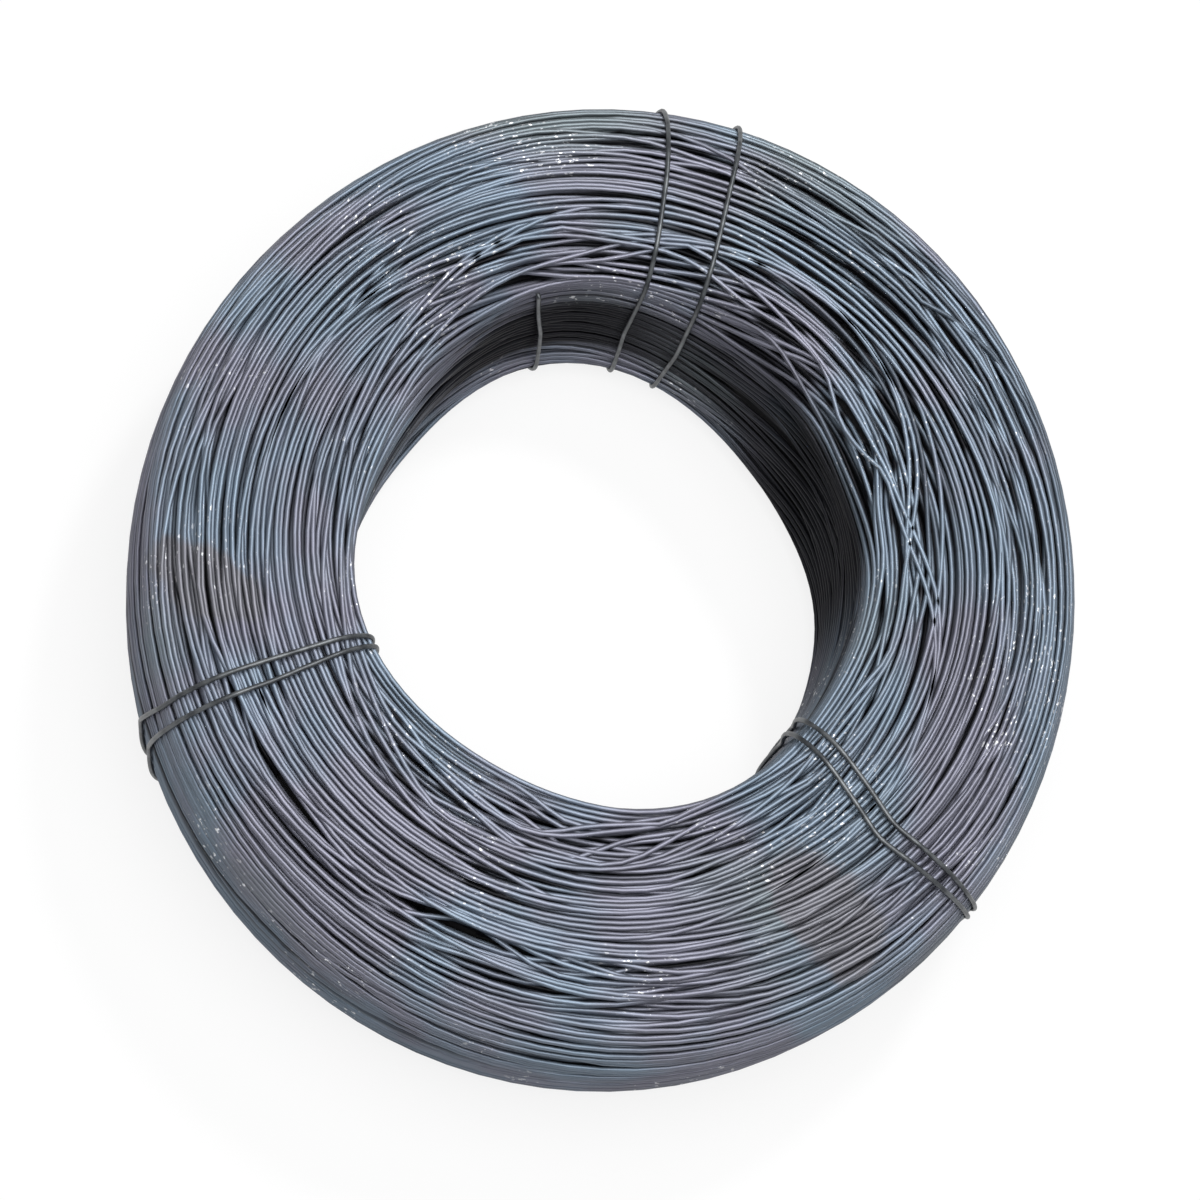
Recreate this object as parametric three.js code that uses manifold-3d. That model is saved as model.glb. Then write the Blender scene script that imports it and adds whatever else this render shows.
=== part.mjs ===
// A coil of hot-rolled wire rod, lying flat, bound by tie wires round its section.
// Units are millimetres, +Z is up, and the coil rests on z = 0 with its bore upright.
import * as THREE from 'three';
import { mergeVertices } from 'three/addons/utils/BufferGeometryUtils.js';
import Module from 'manifold-3d';

const wasm = await Module();
wasm.setup();

// ---- Driving sizes ------------------------------------------------------------------

// The rod and the coil that its turns make
const ROD_D = 5.5;
const COIL_OUTER_D = 1112.4;
const COIL_BORE_D = 566.4;
const COIL_HEIGHT = 325;

// The coil is not quite round. Each wave has its number of crests in a turn, its height
// and its phase in degrees.
const RIM_WAVES = [
  { crests: 2, height: 14.6, phase: 150 },
  { crests: 3, height: 2.9, phase: 162 },
];
const BORE_WAVES = [
  { crests: 1, height: 16.6, phase: 168 },
  { crests: 2, height: 8.1, phase: 182 },
  { crests: 3, height: 8.3, phase: -108 },
  { crests: 4, height: 6.7, phase: 27 },
];

// The turns lie in lots that aren't quite above each other, so the bore's wall is set
// back above or between these levels, by a depth that fades out round the coil.
const FOOT_HEIGHT = 70; // of the lowest lot
const HEAD_DROP = 75; // from the top end to the lot that overhangs
const SHELF_DROP = 25; // from the top end to the shelf under the last lot
const FOOT_EASE = 20; // half the height over which a set-back comes in
const HEAD_EASE = 20;
const SHELF_EASE = 8;
const FAR_SHELF = { bearing: 98, reach: 30, depth: 18 };
const FAR_HOLLOW = { bearing: 105, reach: 45, depth: 16 };
const NEAR_SHELF = { bearing: -107, reach: 36, depth: 68 };
const SIDE_HOLLOW = { bearing: 30, reach: 35, depth: 12 };

// The section of the wound ring
const SQUARENESS = 4; // exponent of its outline: 2 is an ellipse, more is boxier
const RIM_SHOULDER_SQUARENESS = 2.6; // the same for the rounder outer shoulder
const BORE_SHOULDER_SQUARENESS = 7; // and for the sharper one over the bore
const SETTLE = 5; // how much its own weight has flattened the underside
const TURN_RELIEF = 1.6; // depth of the valley between two turns on the top end
const TURNS_PER_BAND = 4; // on the underside the turns bed together in bands
const BAND_RELIEF = 3;
const BAND_GROOVE = 3.5;
const BORE_END_REACH = 0.9; // the part of the half width, inwards, over which turns show
const RIM_END_REACH = 0.85; // and the same outwards
const WALL_STEPS = 7; // facets up the plain outer wall
const CORNER_STEPS = 3; // facets round the bore wall's lower corner
const LATHE_SEGMENTS = 32;
const BEND_WEIGHT = 110; // a radian of bend in an outline earns as many steps as this length
const FINE_STEPS = 720; // for sharing out those steps

// The tie wires
const TIE_D = 5.5;
const TIE_GAP = 0.7; // between a tie and the turns that it binds
const TIE_SIDES = 6;
const TIE_STEPS = 38; // round the ring's section
const TIE_FACINGS = 180; // directions from which a tie is drawn in round its section
const LEAST_FACING = 0.1; // cosine past which a direction has no say in a tie's place
const TIE_FLOOR_CLEARANCE = 0.5;
const CHANNEL_SIDE_GAP = 1.5; // each side of a tie in its channel under the coil
const CHANNEL_HEAD_GAP = 1.2; // over it, where it bends up out of the channel

// The twisted knot that closes a tie
const TWIST_PITCH = 34; // along the knot, for one full turn of its two ends
const TWIST_TURNS = 1.5;
const TWIST_STEPS_PER_TURN = 8;
const TWIST_GAP = 0.6; // between the two ends in the twist
const KNOT_LEAD = 12; // from the loop to the start of the twist
const KNOT_TAIL = 9; // straight end past the twist
const THROAT_ALONG = 4; // where each end bends out of the loop into the knot
const THROAT_RISE = 3;
const RIM_KNOT_TURN = 0.9; // the knots' places on the section's outline, low on a wall
const BORE_KNOT_TURN = 0.6;

// A slack tie stands off where it bends over the edge of the bore
const SLACK_TURN = 0.43; // the middle of that stretch, on the section's outline
const SLACK_REACH = 0.05; // how far along the outline it fades out

// The inner tie is an open U: its two legs tuck in between the turns
const TUCK_DEPTH = 16;
const TUCK_GAP = 1.2; // round the tucked leg in its pocket
const LEG_TURN = 0.015; // on the section's outline, from a leg's bend to the taut loop

// ---- Finishes -----------------------------------------------------------------------

const millScale = new THREE.MeshStandardMaterial({
  name: 'mill_scale',
  color: 0x5d666e,
  roughness: 0.45,
  metalness: 0.75,
});
const tieSteel = new THREE.MeshStandardMaterial({
  name: 'tie_steel',
  color: 0x55595c,
  roughness: 0.5,
  metalness: 0.75,
});

// ---- The coil's form ----------------------------------------------------------------

const OUTER_R = COIL_OUTER_D / 2;
const BORE_R = COIL_BORE_D / 2;
const RING_MIDDLE_R = (OUTER_R + BORE_R) / 2;
const HALF_WIDTH = (OUTER_R - BORE_R) / 2;
const SECTION_MIDDLE_Z = (COIL_HEIGHT - SETTLE) / 2;
const HALF_HEIGHT = (COIL_HEIGHT + SETTLE) / 2;

// How square the outline is at a place that lies this far outward and upward from the
// section's middle.
function squarenessAt(outward, upward) {
  if (upward <= 0) {
    return SQUARENESS;
  }
  return outward > 0 ? RIM_SHOULDER_SQUARENESS : BORE_SHOULDER_SQUARENESS;
}

// The outline of the ring's section, as radius and height. It starts at the middle of
// the outer wall and goes over the top, down the bore wall and back under the coil.
class SectionOutline extends THREE.Curve {
  getPoint(t, target = new THREE.Vector2()) {
    const angle = 2 * Math.PI * t;
    const power = squarenessAt(Math.cos(angle), Math.sin(angle));
    const across = Math.abs(Math.cos(angle)) / HALF_WIDTH;
    const up = Math.abs(Math.sin(angle)) / HALF_HEIGHT;
    const reach = (across ** power + up ** power) ** (-1 / power);
    return target.set(
      RING_MIDDLE_R + reach * Math.cos(angle),
      Math.max(0, SECTION_MIDDLE_Z + reach * Math.sin(angle)),
    );
  }
}

const outline = new SectionOutline();
outline.arcLengthDivisions = FINE_STEPS;
const UNDERSIDE = 0.75;

// A place just off the outline, on the side of the normal that points outwards.
function offOutline(turn, standOff) {
  const point = outline.getPoint(turn);
  const tangent = outline.getTangent(turn);
  return new THREE.Vector2(point.x + tangent.y * standOff, point.y - tangent.x * standOff);
}

// The outline's parameter on the top end, at a share of the half width from the middle.
function topTurn(share) {
  const power = squarenessAt(share, HALF_HEIGHT);
  const rise = HALF_HEIGHT * (1 - Math.abs(share) ** power) ** (1 / power);
  return turnAt(RING_MIDDLE_R + share * HALF_WIDTH, SECTION_MIDDLE_Z + rise);
}

// How far along the outline a parameter lies.
function lengthTo(turn) {
  const lengths = outline.getLengths();
  const place = turn * (lengths.length - 1);
  const index = Math.min(Math.floor(place), lengths.length - 2);
  return THREE.MathUtils.lerp(lengths[index], lengths[index + 1], place - index);
}

// How far the underside's flat bed reaches each side of the ring's middle.
function bedHalfWidth() {
  const drop = SECTION_MIDDLE_Z / HALF_HEIGHT;
  return HALF_WIDTH * (1 - drop ** SQUARENESS) ** (1 / SQUARENESS);
}

// The sum of an outline's waves at an angle round the coil.
function waviness(waves, angle) {
  return waves.reduce((sum, wave) => {
    const phase = THREE.MathUtils.degToRad(wave.phase);
    return sum + wave.height * Math.cos(wave.crests * angle - phase);
  }, 0);
}

// A set-back's depth at an angle round the coil.
function depthAt(setBack, angle) {
  const away = angle - THREE.MathUtils.degToRad(setBack.bearing);
  const nearest = THREE.MathUtils.euclideanModulo(away + Math.PI, 2 * Math.PI) - Math.PI;
  const share = nearest / THREE.MathUtils.degToRad(setBack.reach);
  return setBack.depth * Math.exp(-(share ** 2));
}

// How far the bore's wall is set back at an angle and a height.
function setBackAt(angle, height) {
  const above = (level, ease) => THREE.MathUtils.smoothstep(height, level - ease, level + ease);
  const overFoot = above(FOOT_HEIGHT, FOOT_EASE);
  const overHead = above(COIL_HEIGHT - HEAD_DROP, HEAD_EASE);
  const overShelf = above(COIL_HEIGHT - SHELF_DROP, SHELF_EASE);
  return depthAt(FAR_HOLLOW, angle) * overFoot
    + depthAt(SIDE_HOLLOW, angle) * (overFoot - overHead)
    + (depthAt(FAR_SHELF, angle) + depthAt(NEAR_SHELF, angle)) * overShelf;
}

// The radius in the real, lopsided coil that matches one in the round ring. A set-back
// crowds the turns towards the rim.
function layIn(radius, angle, height) {
  const bore = BORE_R + waviness(BORE_WAVES, angle);
  const rim = OUTER_R + waviness(RIM_WAVES, angle);
  const share = (radius - BORE_R) / (OUTER_R - BORE_R);
  return bore + (rim - bore) * share + setBackAt(angle, height) * (1 - share);
}

// The same between two edges of the turned solid, on the flat facet that joins them.
function layOnFacet(radius, angle, height) {
  const pitch = 2 * Math.PI / LATHE_SEGMENTS;
  const behind = Math.floor(angle / pitch) * pitch;
  const near = layIn(radius, behind, height);
  const far = layIn(radius, behind + pitch, height);
  const within = angle - behind;
  return near * far * Math.sin(pitch)
    / (near * Math.sin(within) + far * Math.sin(pitch - within));
}

// A place at a radius, an angle round the coil and a height.
function placeAt(radius, angle, height) {
  return new THREE.Vector3(radius * Math.cos(angle), radius * Math.sin(angle), height);
}

// The section's profile for turning. Turns show as ridges on the top end and as bands
// on the underside, and the two walls are plain.
function coilProfile() {
  const points = [];
  const start = lengthTo(topTurn(RIM_END_REACH));
  const turns = Math.floor((lengthTo(topTurn(-BORE_END_REACH)) - start) / ROD_D);
  for (let turn = 0; turn <= turns; turn += 1) {
    const crest = outline.getUtoTmapping(0, start + turn * ROD_D);
    const valley = outline.getUtoTmapping(0, start + (turn + 0.5) * ROD_D);
    points.push(outline.getPoint(crest));
    if (turn < turns) {
      points.push(offOutline(valley, -TURN_RELIEF));
    }
  }
  const outermost = points[0];
  const innermost = points[points.length - 1];
  const bed = bedHalfWidth();
  addBoreWall(points, turnAt(innermost.x, innermost.y), turnAt(RING_MIDDLE_R - bed, 0));
  addBands(points);
  addWall(points, turnAt(RING_MIDDLE_R + bed, 0) - 1, turnAt(outermost.x, outermost.y));
  points.push(outermost.clone());
  return points;
}

// The outline's parameter, in turns round it, towards a radius and height.
function turnAt(radius, height) {
  const angle = Math.atan2(height - SECTION_MIDDLE_Z, radius - RING_MIDDLE_R);
  return THREE.MathUtils.euclideanModulo(angle / (2 * Math.PI), 1);
}

// Adds a wall's facets strictly between two places on the outline.
function addWall(points, from, to, steps = WALL_STEPS) {
  for (const turn of spacedTurns(from, to, steps).slice(1, -1)) {
    points.push(outline.getPoint(THREE.MathUtils.euclideanModulo(turn, 1)));
  }
}

// Adds the bore wall's facets, with an edge where each set-back begins and ends.
function addBoreWall(points, from, to) {
  const levels = [
    COIL_HEIGHT - SHELF_DROP + SHELF_EASE,
    COIL_HEIGHT - SHELF_DROP - SHELF_EASE,
    COIL_HEIGHT - HEAD_DROP + HEAD_EASE,
    COIL_HEIGHT - HEAD_DROP - HEAD_EASE,
    SECTION_MIDDLE_Z,
    FOOT_HEIGHT + FOOT_EASE,
    FOOT_HEIGHT - FOOT_EASE,
  ];
  for (const level of levels.filter((height) => height < outline.getPoint(from).y)) {
    points.push(boreWallAt(level));
  }
  const last = points[points.length - 1];
  addWall(points, turnAt(last.x, last.y), to, CORNER_STEPS);
}

// The place on the bore wall's outline at a height.
function boreWallAt(height) {
  const up = (height - SECTION_MIDDLE_Z) / HALF_HEIGHT;
  const power = squarenessAt(-HALF_WIDTH, up);
  const across = HALF_WIDTH * (1 - Math.abs(up) ** power) ** (1 / power);
  return new THREE.Vector2(RING_MIDDLE_R - across, height);
}

// Places along the outline that lie closer together where it bends.
function spacedTurns(from, to, steps) {
  const point = (turn) => outline.getPoint(THREE.MathUtils.euclideanModulo(turn, 1));
  const stride = (to - from) / FINE_STEPS;
  const travelled = [0];
  for (let i = 1; i <= FINE_STEPS; i += 1) {
    const here = from + i * stride;
    const ahead = point(here + stride / 2).sub(point(here));
    const behind = point(here).sub(point(here - stride / 2));
    const length = 2 * behind.length();
    const bend = 2 * behind.angleTo(ahead);
    travelled.push(travelled[i - 1] + length + BEND_WEIGHT * bend);
  }
  const turns = [];
  for (let step = 0, i = 0; step <= steps; step += 1) {
    const goal = travelled[FINE_STEPS] * step / steps;
    while (i < FINE_STEPS - 1 && travelled[i + 1] < goal) {
      i += 1;
    }
    const within = (goal - travelled[i]) / (travelled[i + 1] - travelled[i]);
    turns.push(from + (i + within) * stride);
  }
  return turns;
}

// Adds the underside's flat bands, from the bore to the rim, with a groove between two.
function addBands(points) {
  const bed = bedHalfWidth();
  const bands = Math.floor(2 * bed / (TURNS_PER_BAND * ROD_D));
  const pitch = 2 * bed / bands;
  for (let band = 0; band < bands; band += 1) {
    const start = RING_MIDDLE_R - bed + band * pitch;
    points.push(new THREE.Vector2(start, 0));
    if (band < bands - 1) {
      points.push(new THREE.Vector2(start + pitch - BAND_GROOVE, 0));
      points.push(new THREE.Vector2(start + pitch - BAND_GROOVE / 2, BAND_RELIEF));
    }
  }
  points.push(new THREE.Vector2(RING_MIDDLE_R + bed, 0));
}

// Turns the profile about the vertical axis and lays each point in its place.
function turnedCoil() {
  const geometry = new THREE.LatheGeometry(coilProfile(), LATHE_SEGMENTS);
  const position = geometry.getAttribute('position');
  for (let i = 0; i < position.count; i += 1) {
    const angle = Math.atan2(position.getX(i), position.getZ(i));
    const height = position.getY(i);
    const radius = layIn(Math.hypot(position.getX(i), position.getZ(i)), angle, height);
    position.setXYZ(i, radius * Math.cos(angle), radius * Math.sin(angle), height);
  }
  return geometry;
}

// ---- Tie wires ----------------------------------------------------------------------

const TIE_OFFSET = TIE_D / 2 + TIE_GAP;
const TIE_FLOOR_Z = TIE_D / 2 + TIE_FLOOR_CLEARANCE;
const CHANNEL_TOP_Z = TIE_FLOOR_Z + TIE_OFFSET + CHANNEL_HEAD_GAP;
const STRAND_OFFSET = (TIE_D + TWIST_GAP) / 2;

// A wire's route through places that it meets one after another. Its parameter counts
// the places, so that the wire has one section at each of them.
class WireRoute extends THREE.Curve {
  constructor(places) {
    super();
    this.places = places;
  }

  getUtoTmapping(u) {
    return u;
  }

  getPoint(t, target = new THREE.Vector3()) {
    const last = this.places.length - 1;
    const index = Math.min(Math.floor(t * last), last - 1);
    return target.lerpVectors(this.places[index], this.places[index + 1], t * last - index);
  }
}

function wireThrough(places, radius = TIE_D / 2) {
  const corners = [];
  for (let side = 0; side < TIE_SIDES; side += 1) {
    const angle = 2 * Math.PI * side / TIE_SIDES;
    corners.push(new THREE.Vector2(Math.cos(angle), Math.sin(angle)).multiplyScalar(radius));
  }
  return new THREE.ExtrudeGeometry(new THREE.Shape(corners), {
    steps: places.length - 1,
    extrudePath: new WireRoute(places),
    bevelEnabled: false,
  });
}

// A tie swings to either side of its bearing as it goes round the section. Its swings
// are degrees at the outer wall, the outer shoulder, the top, the bore shoulder and the
// bore wall, and under the coil it runs straight in its channel.
function bearingAt(tie, turn) {
  const stations = [...tie.swing, 0, 0, 0, tie.swing[0]];
  const place = turn * (stations.length - 1);
  const index = Math.min(Math.floor(place), stations.length - 2);
  const swing = THREE.MathUtils.lerp(
    stations[index],
    stations[index + 1],
    THREE.MathUtils.smoothstep(place - index, 0, 1),
  );
  return THREE.MathUtils.degToRad(tie.bearing + swing);
}

// A place on the turned solid's section where a tie passes it, as radius and height.
function sectionPlace(tie, turn) {
  const point = outline.getPoint(turn);
  return new THREE.Vector2(layOnFacet(point.x, bearingAt(tie, turn), point.y), point.y);
}

// A tie's section as a taut wire meets it: drawn in from all sides, over any hollow.
class TautSection {
  constructor(tie) {
    this.tie = tie;
    this.middle = new THREE.Vector2(
      layIn(RING_MIDDLE_R, THREE.MathUtils.degToRad(tie.bearing), SECTION_MIDDLE_Z),
      SECTION_MIDDLE_Z,
    );
    const places = outline.getPoints(FINE_STEPS).map(
      (point, step) => sectionPlace(tie, step / FINE_STEPS).sub(this.middle),
    );
    this.facings = Array.from({ length: TIE_FACINGS }, (_, step) => {
      const angle = 2 * Math.PI * step / TIE_FACINGS;
      const normal = new THREE.Vector2(Math.cos(angle), Math.sin(angle));
      const support = Math.max(...places.map((place) => place.dot(normal)));
      return { normal, support };
    });
  }

  // The radius and height that stand off from it, towards a place on the outline.
  beside(turn, standOff) {
    const place = THREE.MathUtils.euclideanModulo(turn, 1);
    const direction = sectionPlace(this.tie, place).sub(this.middle).normalize();
    const ahead = this.facings.filter(
      ({ normal }) => normal.dot(direction) > LEAST_FACING,
    );
    const reach = Math.min(...ahead.map(
      ({ normal, support }) => (support + standOff) / normal.dot(direction),
    ));
    return direction.multiplyScalar(reach).add(this.middle);
  }

  // How far it bulges past a straight line between two places on it.
  bulgeBetween(from, to) {
    const [start, middle, end] = [from, (from + to) / 2, to].map(
      (turn) => this.beside(turn, TIE_OFFSET),
    );
    const chord = end.sub(start);
    return Math.abs(chord.cross(middle.sub(start))) / chord.length();
  }
}

// The places of a tie's loop, from one place on the outline to another. Each stands off
// a little more where the section turns, so that the straight runs between stay clear.
function loopPlaces(tie, from, to) {
  const section = new TautSection(tie);
  const turns = spacedTurns(from, to, TIE_STEPS);
  return turns.map((turn, i) => {
    const bulge = Math.max(
      section.bulgeBetween(turns[Math.max(i - 1, 0)], turns[Math.max(i, 1)]),
      section.bulgeBetween(
        turns[Math.min(i, TIE_STEPS - 1)],
        turns[Math.min(i + 1, TIE_STEPS)],
      ),
    );
    const onOutline = THREE.MathUtils.euclideanModulo(turn, 1);
    const slack = tie.slack * Math.exp(-(((onOutline - SLACK_TURN) / SLACK_REACH) ** 2));
    const place = section.beside(turn, TIE_OFFSET + bulge + slack);
    return placeAt(place.x, bearingAt(tie, onOutline), Math.max(TIE_FLOOR_Z, place.y));
  });
}

// The places of one end of the wire in the knot, from its free tip to the loop. The
// knot lies along the wall, and side is 1 or -1 for the end from above or from below.
function knotEndPlaces(tie, side) {
  const places = [];
  const wall = outline.getPoint(tie.knot);
  const outward = Math.sign(wall.x - RING_MIDDLE_R);
  const steps = Math.round(TWIST_TURNS * TWIST_STEPS_PER_TURN);
  const lie = (along, standOff, rise) => {
    const bearing = bearingAt(tie, tie.knot) + tie.knotWay * along / wall.x;
    const away = outward * (TIE_OFFSET + STRAND_OFFSET + standOff);
    return placeAt(layOnFacet(wall.x, bearing, wall.y) + away, bearing, wall.y + rise);
  };
  const strand = (along, turns) => {
    const angle = 2 * Math.PI * turns;
    const rise = side * STRAND_OFFSET * Math.cos(angle);
    return lie(along, side * STRAND_OFFSET * Math.sin(angle), rise);
  };
  places.push(strand(KNOT_LEAD + TWIST_TURNS * TWIST_PITCH + KNOT_TAIL, TWIST_TURNS));
  for (let step = steps; step >= 0; step -= 1) {
    const turns = step / TWIST_STEPS_PER_TURN;
    places.push(strand(KNOT_LEAD + turns * TWIST_PITCH, turns));
  }
  places.push(lie(THROAT_ALONG, -STRAND_OFFSET, side * (STRAND_OFFSET + THROAT_RISE)));
  return places;
}

// A tie that closes round the section, with its ends twisted together on a wall.
function closedTie(tie) {
  const leave = KNOT_LEAD / outline.getLength();
  const upper = knotEndPlaces(tie, 1);
  const lower = knotEndPlaces(tie, -1);
  const overTop = tie.knot === RIM_KNOT_TURN ? 1 : -1;
  const from = tie.knot + overTop * leave;
  const to = tie.knot + overTop * (1 - leave);
  return wireThrough([...upper, ...loopPlaces(tie, from, to), ...lower.reverse()]);
}

// A place in or beside a wall, level with a place on its outline.
function levelWith(tie, turn, outward) {
  const wall = sectionPlace(tie, turn);
  const side = Math.sign(outline.getPoint(turn).x - RING_MIDDLE_R);
  return placeAt(wall.x + side * outward, bearingAt(tie, turn), wall.y);
}

// A tie that binds only the lower turns. Its legs rise up both walls and tuck in.
function openTie(tie) {
  return wireThrough([
    levelWith(tie, tie.outerTuck, -TUCK_DEPTH),
    levelWith(tie, tie.outerTuck, TIE_OFFSET),
    ...loopPlaces(tie, 1 + tie.outerTuck - LEG_TURN, tie.boreTuck + LEG_TURN),
    levelWith(tie, tie.boreTuck, TIE_OFFSET),
    levelWith(tie, tie.boreTuck, -TUCK_DEPTH),
  ]);
}

// The pocket between the turns that a leg tucks into.
function pocketFor(tie, turn) {
  const mouth = levelWith(tie, turn, TIE_OFFSET + TIE_D);
  const end = levelWith(tie, turn, -TUCK_DEPTH - TUCK_GAP);
  return wireThrough([mouth, end], TIE_D / 2 + TUCK_GAP);
}

// Pairs of ties lie side by side, and their knots point away from each other.
function pairOf(name, knot, slack, first, second) {
  return [
    { name: `${name}_a`, knot, slack, knotWay: knot === RIM_KNOT_TURN ? 1 : -1, ...first },
    { name: `${name}_b`, knot, slack, knotWay: knot === RIM_KNOT_TURN ? -1 : 1, ...second },
  ];
}

const closedTies = [
  ...pairOf(
    'tie_top', RIM_KNOT_TURN, 0,
    { bearing: 84, swing: [0, 0, -0.3, 0.8, 1.2] },
    { bearing: 74, swing: [0.7, 0.4, 0, -0.7, -1.2] },
  ),
  ...pairOf(
    'tie_left', BORE_KNOT_TURN, 0,
    { bearing: 199.5, swing: [-1.7, 0.3, 0.4, 0.8, 0.8] },
    { bearing: 202.5, swing: [-1.4, -0.2, 0.5, -0.1, -0.5] },
  ),
  ...pairOf(
    'tie_right', RIM_KNOT_TURN, 8,
    { bearing: -44.5, swing: [2, -1.5, -4.5, -1, 6.5] },
    { bearing: -47.5, swing: [3.9, -0.1, -4.7, -2.3, 3.9] },
  ),
];

const innerTie = {
  name: 'tie_inner',
  bearing: 101.5,
  swing: [0, 0, 3, 5.5, 2],
  slack: 0,
  boreTuck: 0.375,
  outerTuck: 0.08,
};

// ---- Joining and cutting ------------------------------------------------------------

function toSolid(geometry) {
  const bare = geometry.clone();
  bare.deleteAttribute('normal');
  bare.deleteAttribute('uv');
  const merged = mergeVertices(bare, 1e-4);
  return new wasm.Manifold(new wasm.Mesh({
    numProp: 3,
    vertProperties: new Float32Array(merged.getAttribute('position').array),
    triVerts: new Uint32Array(merged.getIndex().array),
  }));
}

function toGeometry(solid) {
  const mesh = solid.getMesh();
  const geometry = new THREE.BufferGeometry();
  geometry.setAttribute('position', new THREE.BufferAttribute(mesh.vertProperties, 3));
  geometry.setIndex(new THREE.BufferAttribute(mesh.triVerts, 1));
  geometry.computeVertexNormals();
  return geometry;
}

// The straight channel under the coil in which a tie lies clear of the floor.
function channelFor(tie) {
  const length = OUTER_R - BORE_R;
  const channel = new THREE.BoxGeometry(
    length,
    TIE_D + 2 * CHANNEL_SIDE_GAP,
    2 * CHANNEL_TOP_Z,
  );
  const bearing = bearingAt(tie, UNDERSIDE);
  channel.translate(layIn(RING_MIDDLE_R, bearing, 0), 0, 0);
  channel.rotateZ(bearing);
  return channel;
}

// ---- Assembly -----------------------------------------------------------------------

const ties = [
  ...closedTies.map((tie) => ({ ...tie, geometry: closedTie(tie) })),
  { ...innerTie, geometry: openTie(innerTie) },
];

let coilSolid = toSolid(turnedCoil());
for (const tie of ties) {
  coilSolid = coilSolid.subtract(toSolid(channelFor(tie)));
}
for (const turn of [innerTie.outerTuck, innerTie.boreTuck]) {
  coilSolid = coilSolid.subtract(toSolid(pocketFor(innerTie, turn)));
}

const coil = new THREE.Mesh(toGeometry(coilSolid), millScale);
coil.name = 'wire_coil';

const tiedCoil = new THREE.Group();
tiedCoil.add(coil);
for (const tie of ties) {
  const mesh = new THREE.Mesh(tie.geometry, tieSteel.clone());
  mesh.name = tie.name;
  tiedCoil.add(mesh);
}

// The origin lies on the floor, under the middle of the tied coil.
const middle = new THREE.Box3().setFromObject(tiedCoil).getCenter(new THREE.Vector3());
tiedCoil.position.set(-middle.x, -middle.y, 0);

const part = new THREE.Group();
part.name = 'coil_of_wire_rod';
part.add(tiedCoil);

export default part;
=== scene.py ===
"""Dresses a coil of hot-rolled wire rod, wound turn by turn and bound by tie wires.

Lengths are in metres and bearings in degrees, anticlockwise from +X seen from above.
"""

import logging
import math
from dataclasses import dataclass, field
from enum import Enum

import bpy
import numpy as np
from mathutils import Matrix, Vector


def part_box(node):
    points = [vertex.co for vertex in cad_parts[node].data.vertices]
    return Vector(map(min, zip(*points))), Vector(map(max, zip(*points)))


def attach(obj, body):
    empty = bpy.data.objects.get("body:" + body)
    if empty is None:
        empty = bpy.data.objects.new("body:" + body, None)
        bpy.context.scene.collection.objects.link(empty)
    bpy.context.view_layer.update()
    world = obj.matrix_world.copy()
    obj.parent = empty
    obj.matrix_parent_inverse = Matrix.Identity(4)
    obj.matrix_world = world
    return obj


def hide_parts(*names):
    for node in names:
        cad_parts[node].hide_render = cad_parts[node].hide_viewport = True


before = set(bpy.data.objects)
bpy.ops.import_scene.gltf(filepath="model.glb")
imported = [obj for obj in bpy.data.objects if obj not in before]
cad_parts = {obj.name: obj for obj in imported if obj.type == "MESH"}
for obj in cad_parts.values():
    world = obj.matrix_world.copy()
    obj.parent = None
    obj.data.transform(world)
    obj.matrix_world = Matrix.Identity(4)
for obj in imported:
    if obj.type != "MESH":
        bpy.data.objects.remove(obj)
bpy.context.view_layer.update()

logging.basicConfig(level=logging.INFO, format="%(message)s")
log = logging.getLogger("wire_coil")

Array = np.ndarray
Pair = tuple[float, float]
Colour = tuple[float, float, float, float]
Socket = bpy.types.NodeSocket

ROD = 0.0055  # diameter of the rod and of the tie wires
STATIONS = 96  # places round the coil at which each turn is worked out
STATION = np.arange(STATIONS)
THETA = np.arange(STATIONS) * 2 * math.pi / STATIONS  # their angles
CELL = 0.0005  # radial step of the bed that the turns are laid on
NEVER = 9.0  # a length beyond everything here
SEED = 41


# ---- The coil's form ----------------------------------------------------------------


@dataclass(frozen=True)
class Wave:
    """One ripple of an outline round the coil.

    Args:
        order: How many crests it has in one turn.
        height: Its height.
        bearing: Its phase, in degrees.
    """

    order: int
    height: float
    bearing: float

    def at(self, theta: Array) -> Array:
        """The ripple's height at angles round the coil."""
        return self.height * np.cos(self.order * theta - math.radians(self.bearing))


@dataclass(frozen=True)
class Swell:
    """A smooth bulge of an outline over one stretch of the coil.

    Args:
        bearing: Where its middle is, in degrees.
        reach: Half its width, in degrees.
        height: Its height.
    """

    bearing: float
    reach: float
    height: float

    def at(self, theta: Array) -> Array:
        """The bulge's height at angles round the coil."""
        away = np.angle(np.exp(1j * (theta - math.radians(self.bearing))))
        return self.height * np.exp(-((away / math.radians(self.reach)) ** 2))


@dataclass(frozen=True)
class Fade:
    """A smooth passage from 0 at one value to 1 at another.

    Args:
        low: The value up to which it is 0.
        high: The value from which it is 1.
    """

    low: float
    high: float

    def at(self, values: Array) -> Array:
        """How far the passage is made at each value."""
        share = np.clip((values - self.low) / (self.high - self.low), 0, 1)
        return share * share * (3 - 2 * share)


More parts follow.
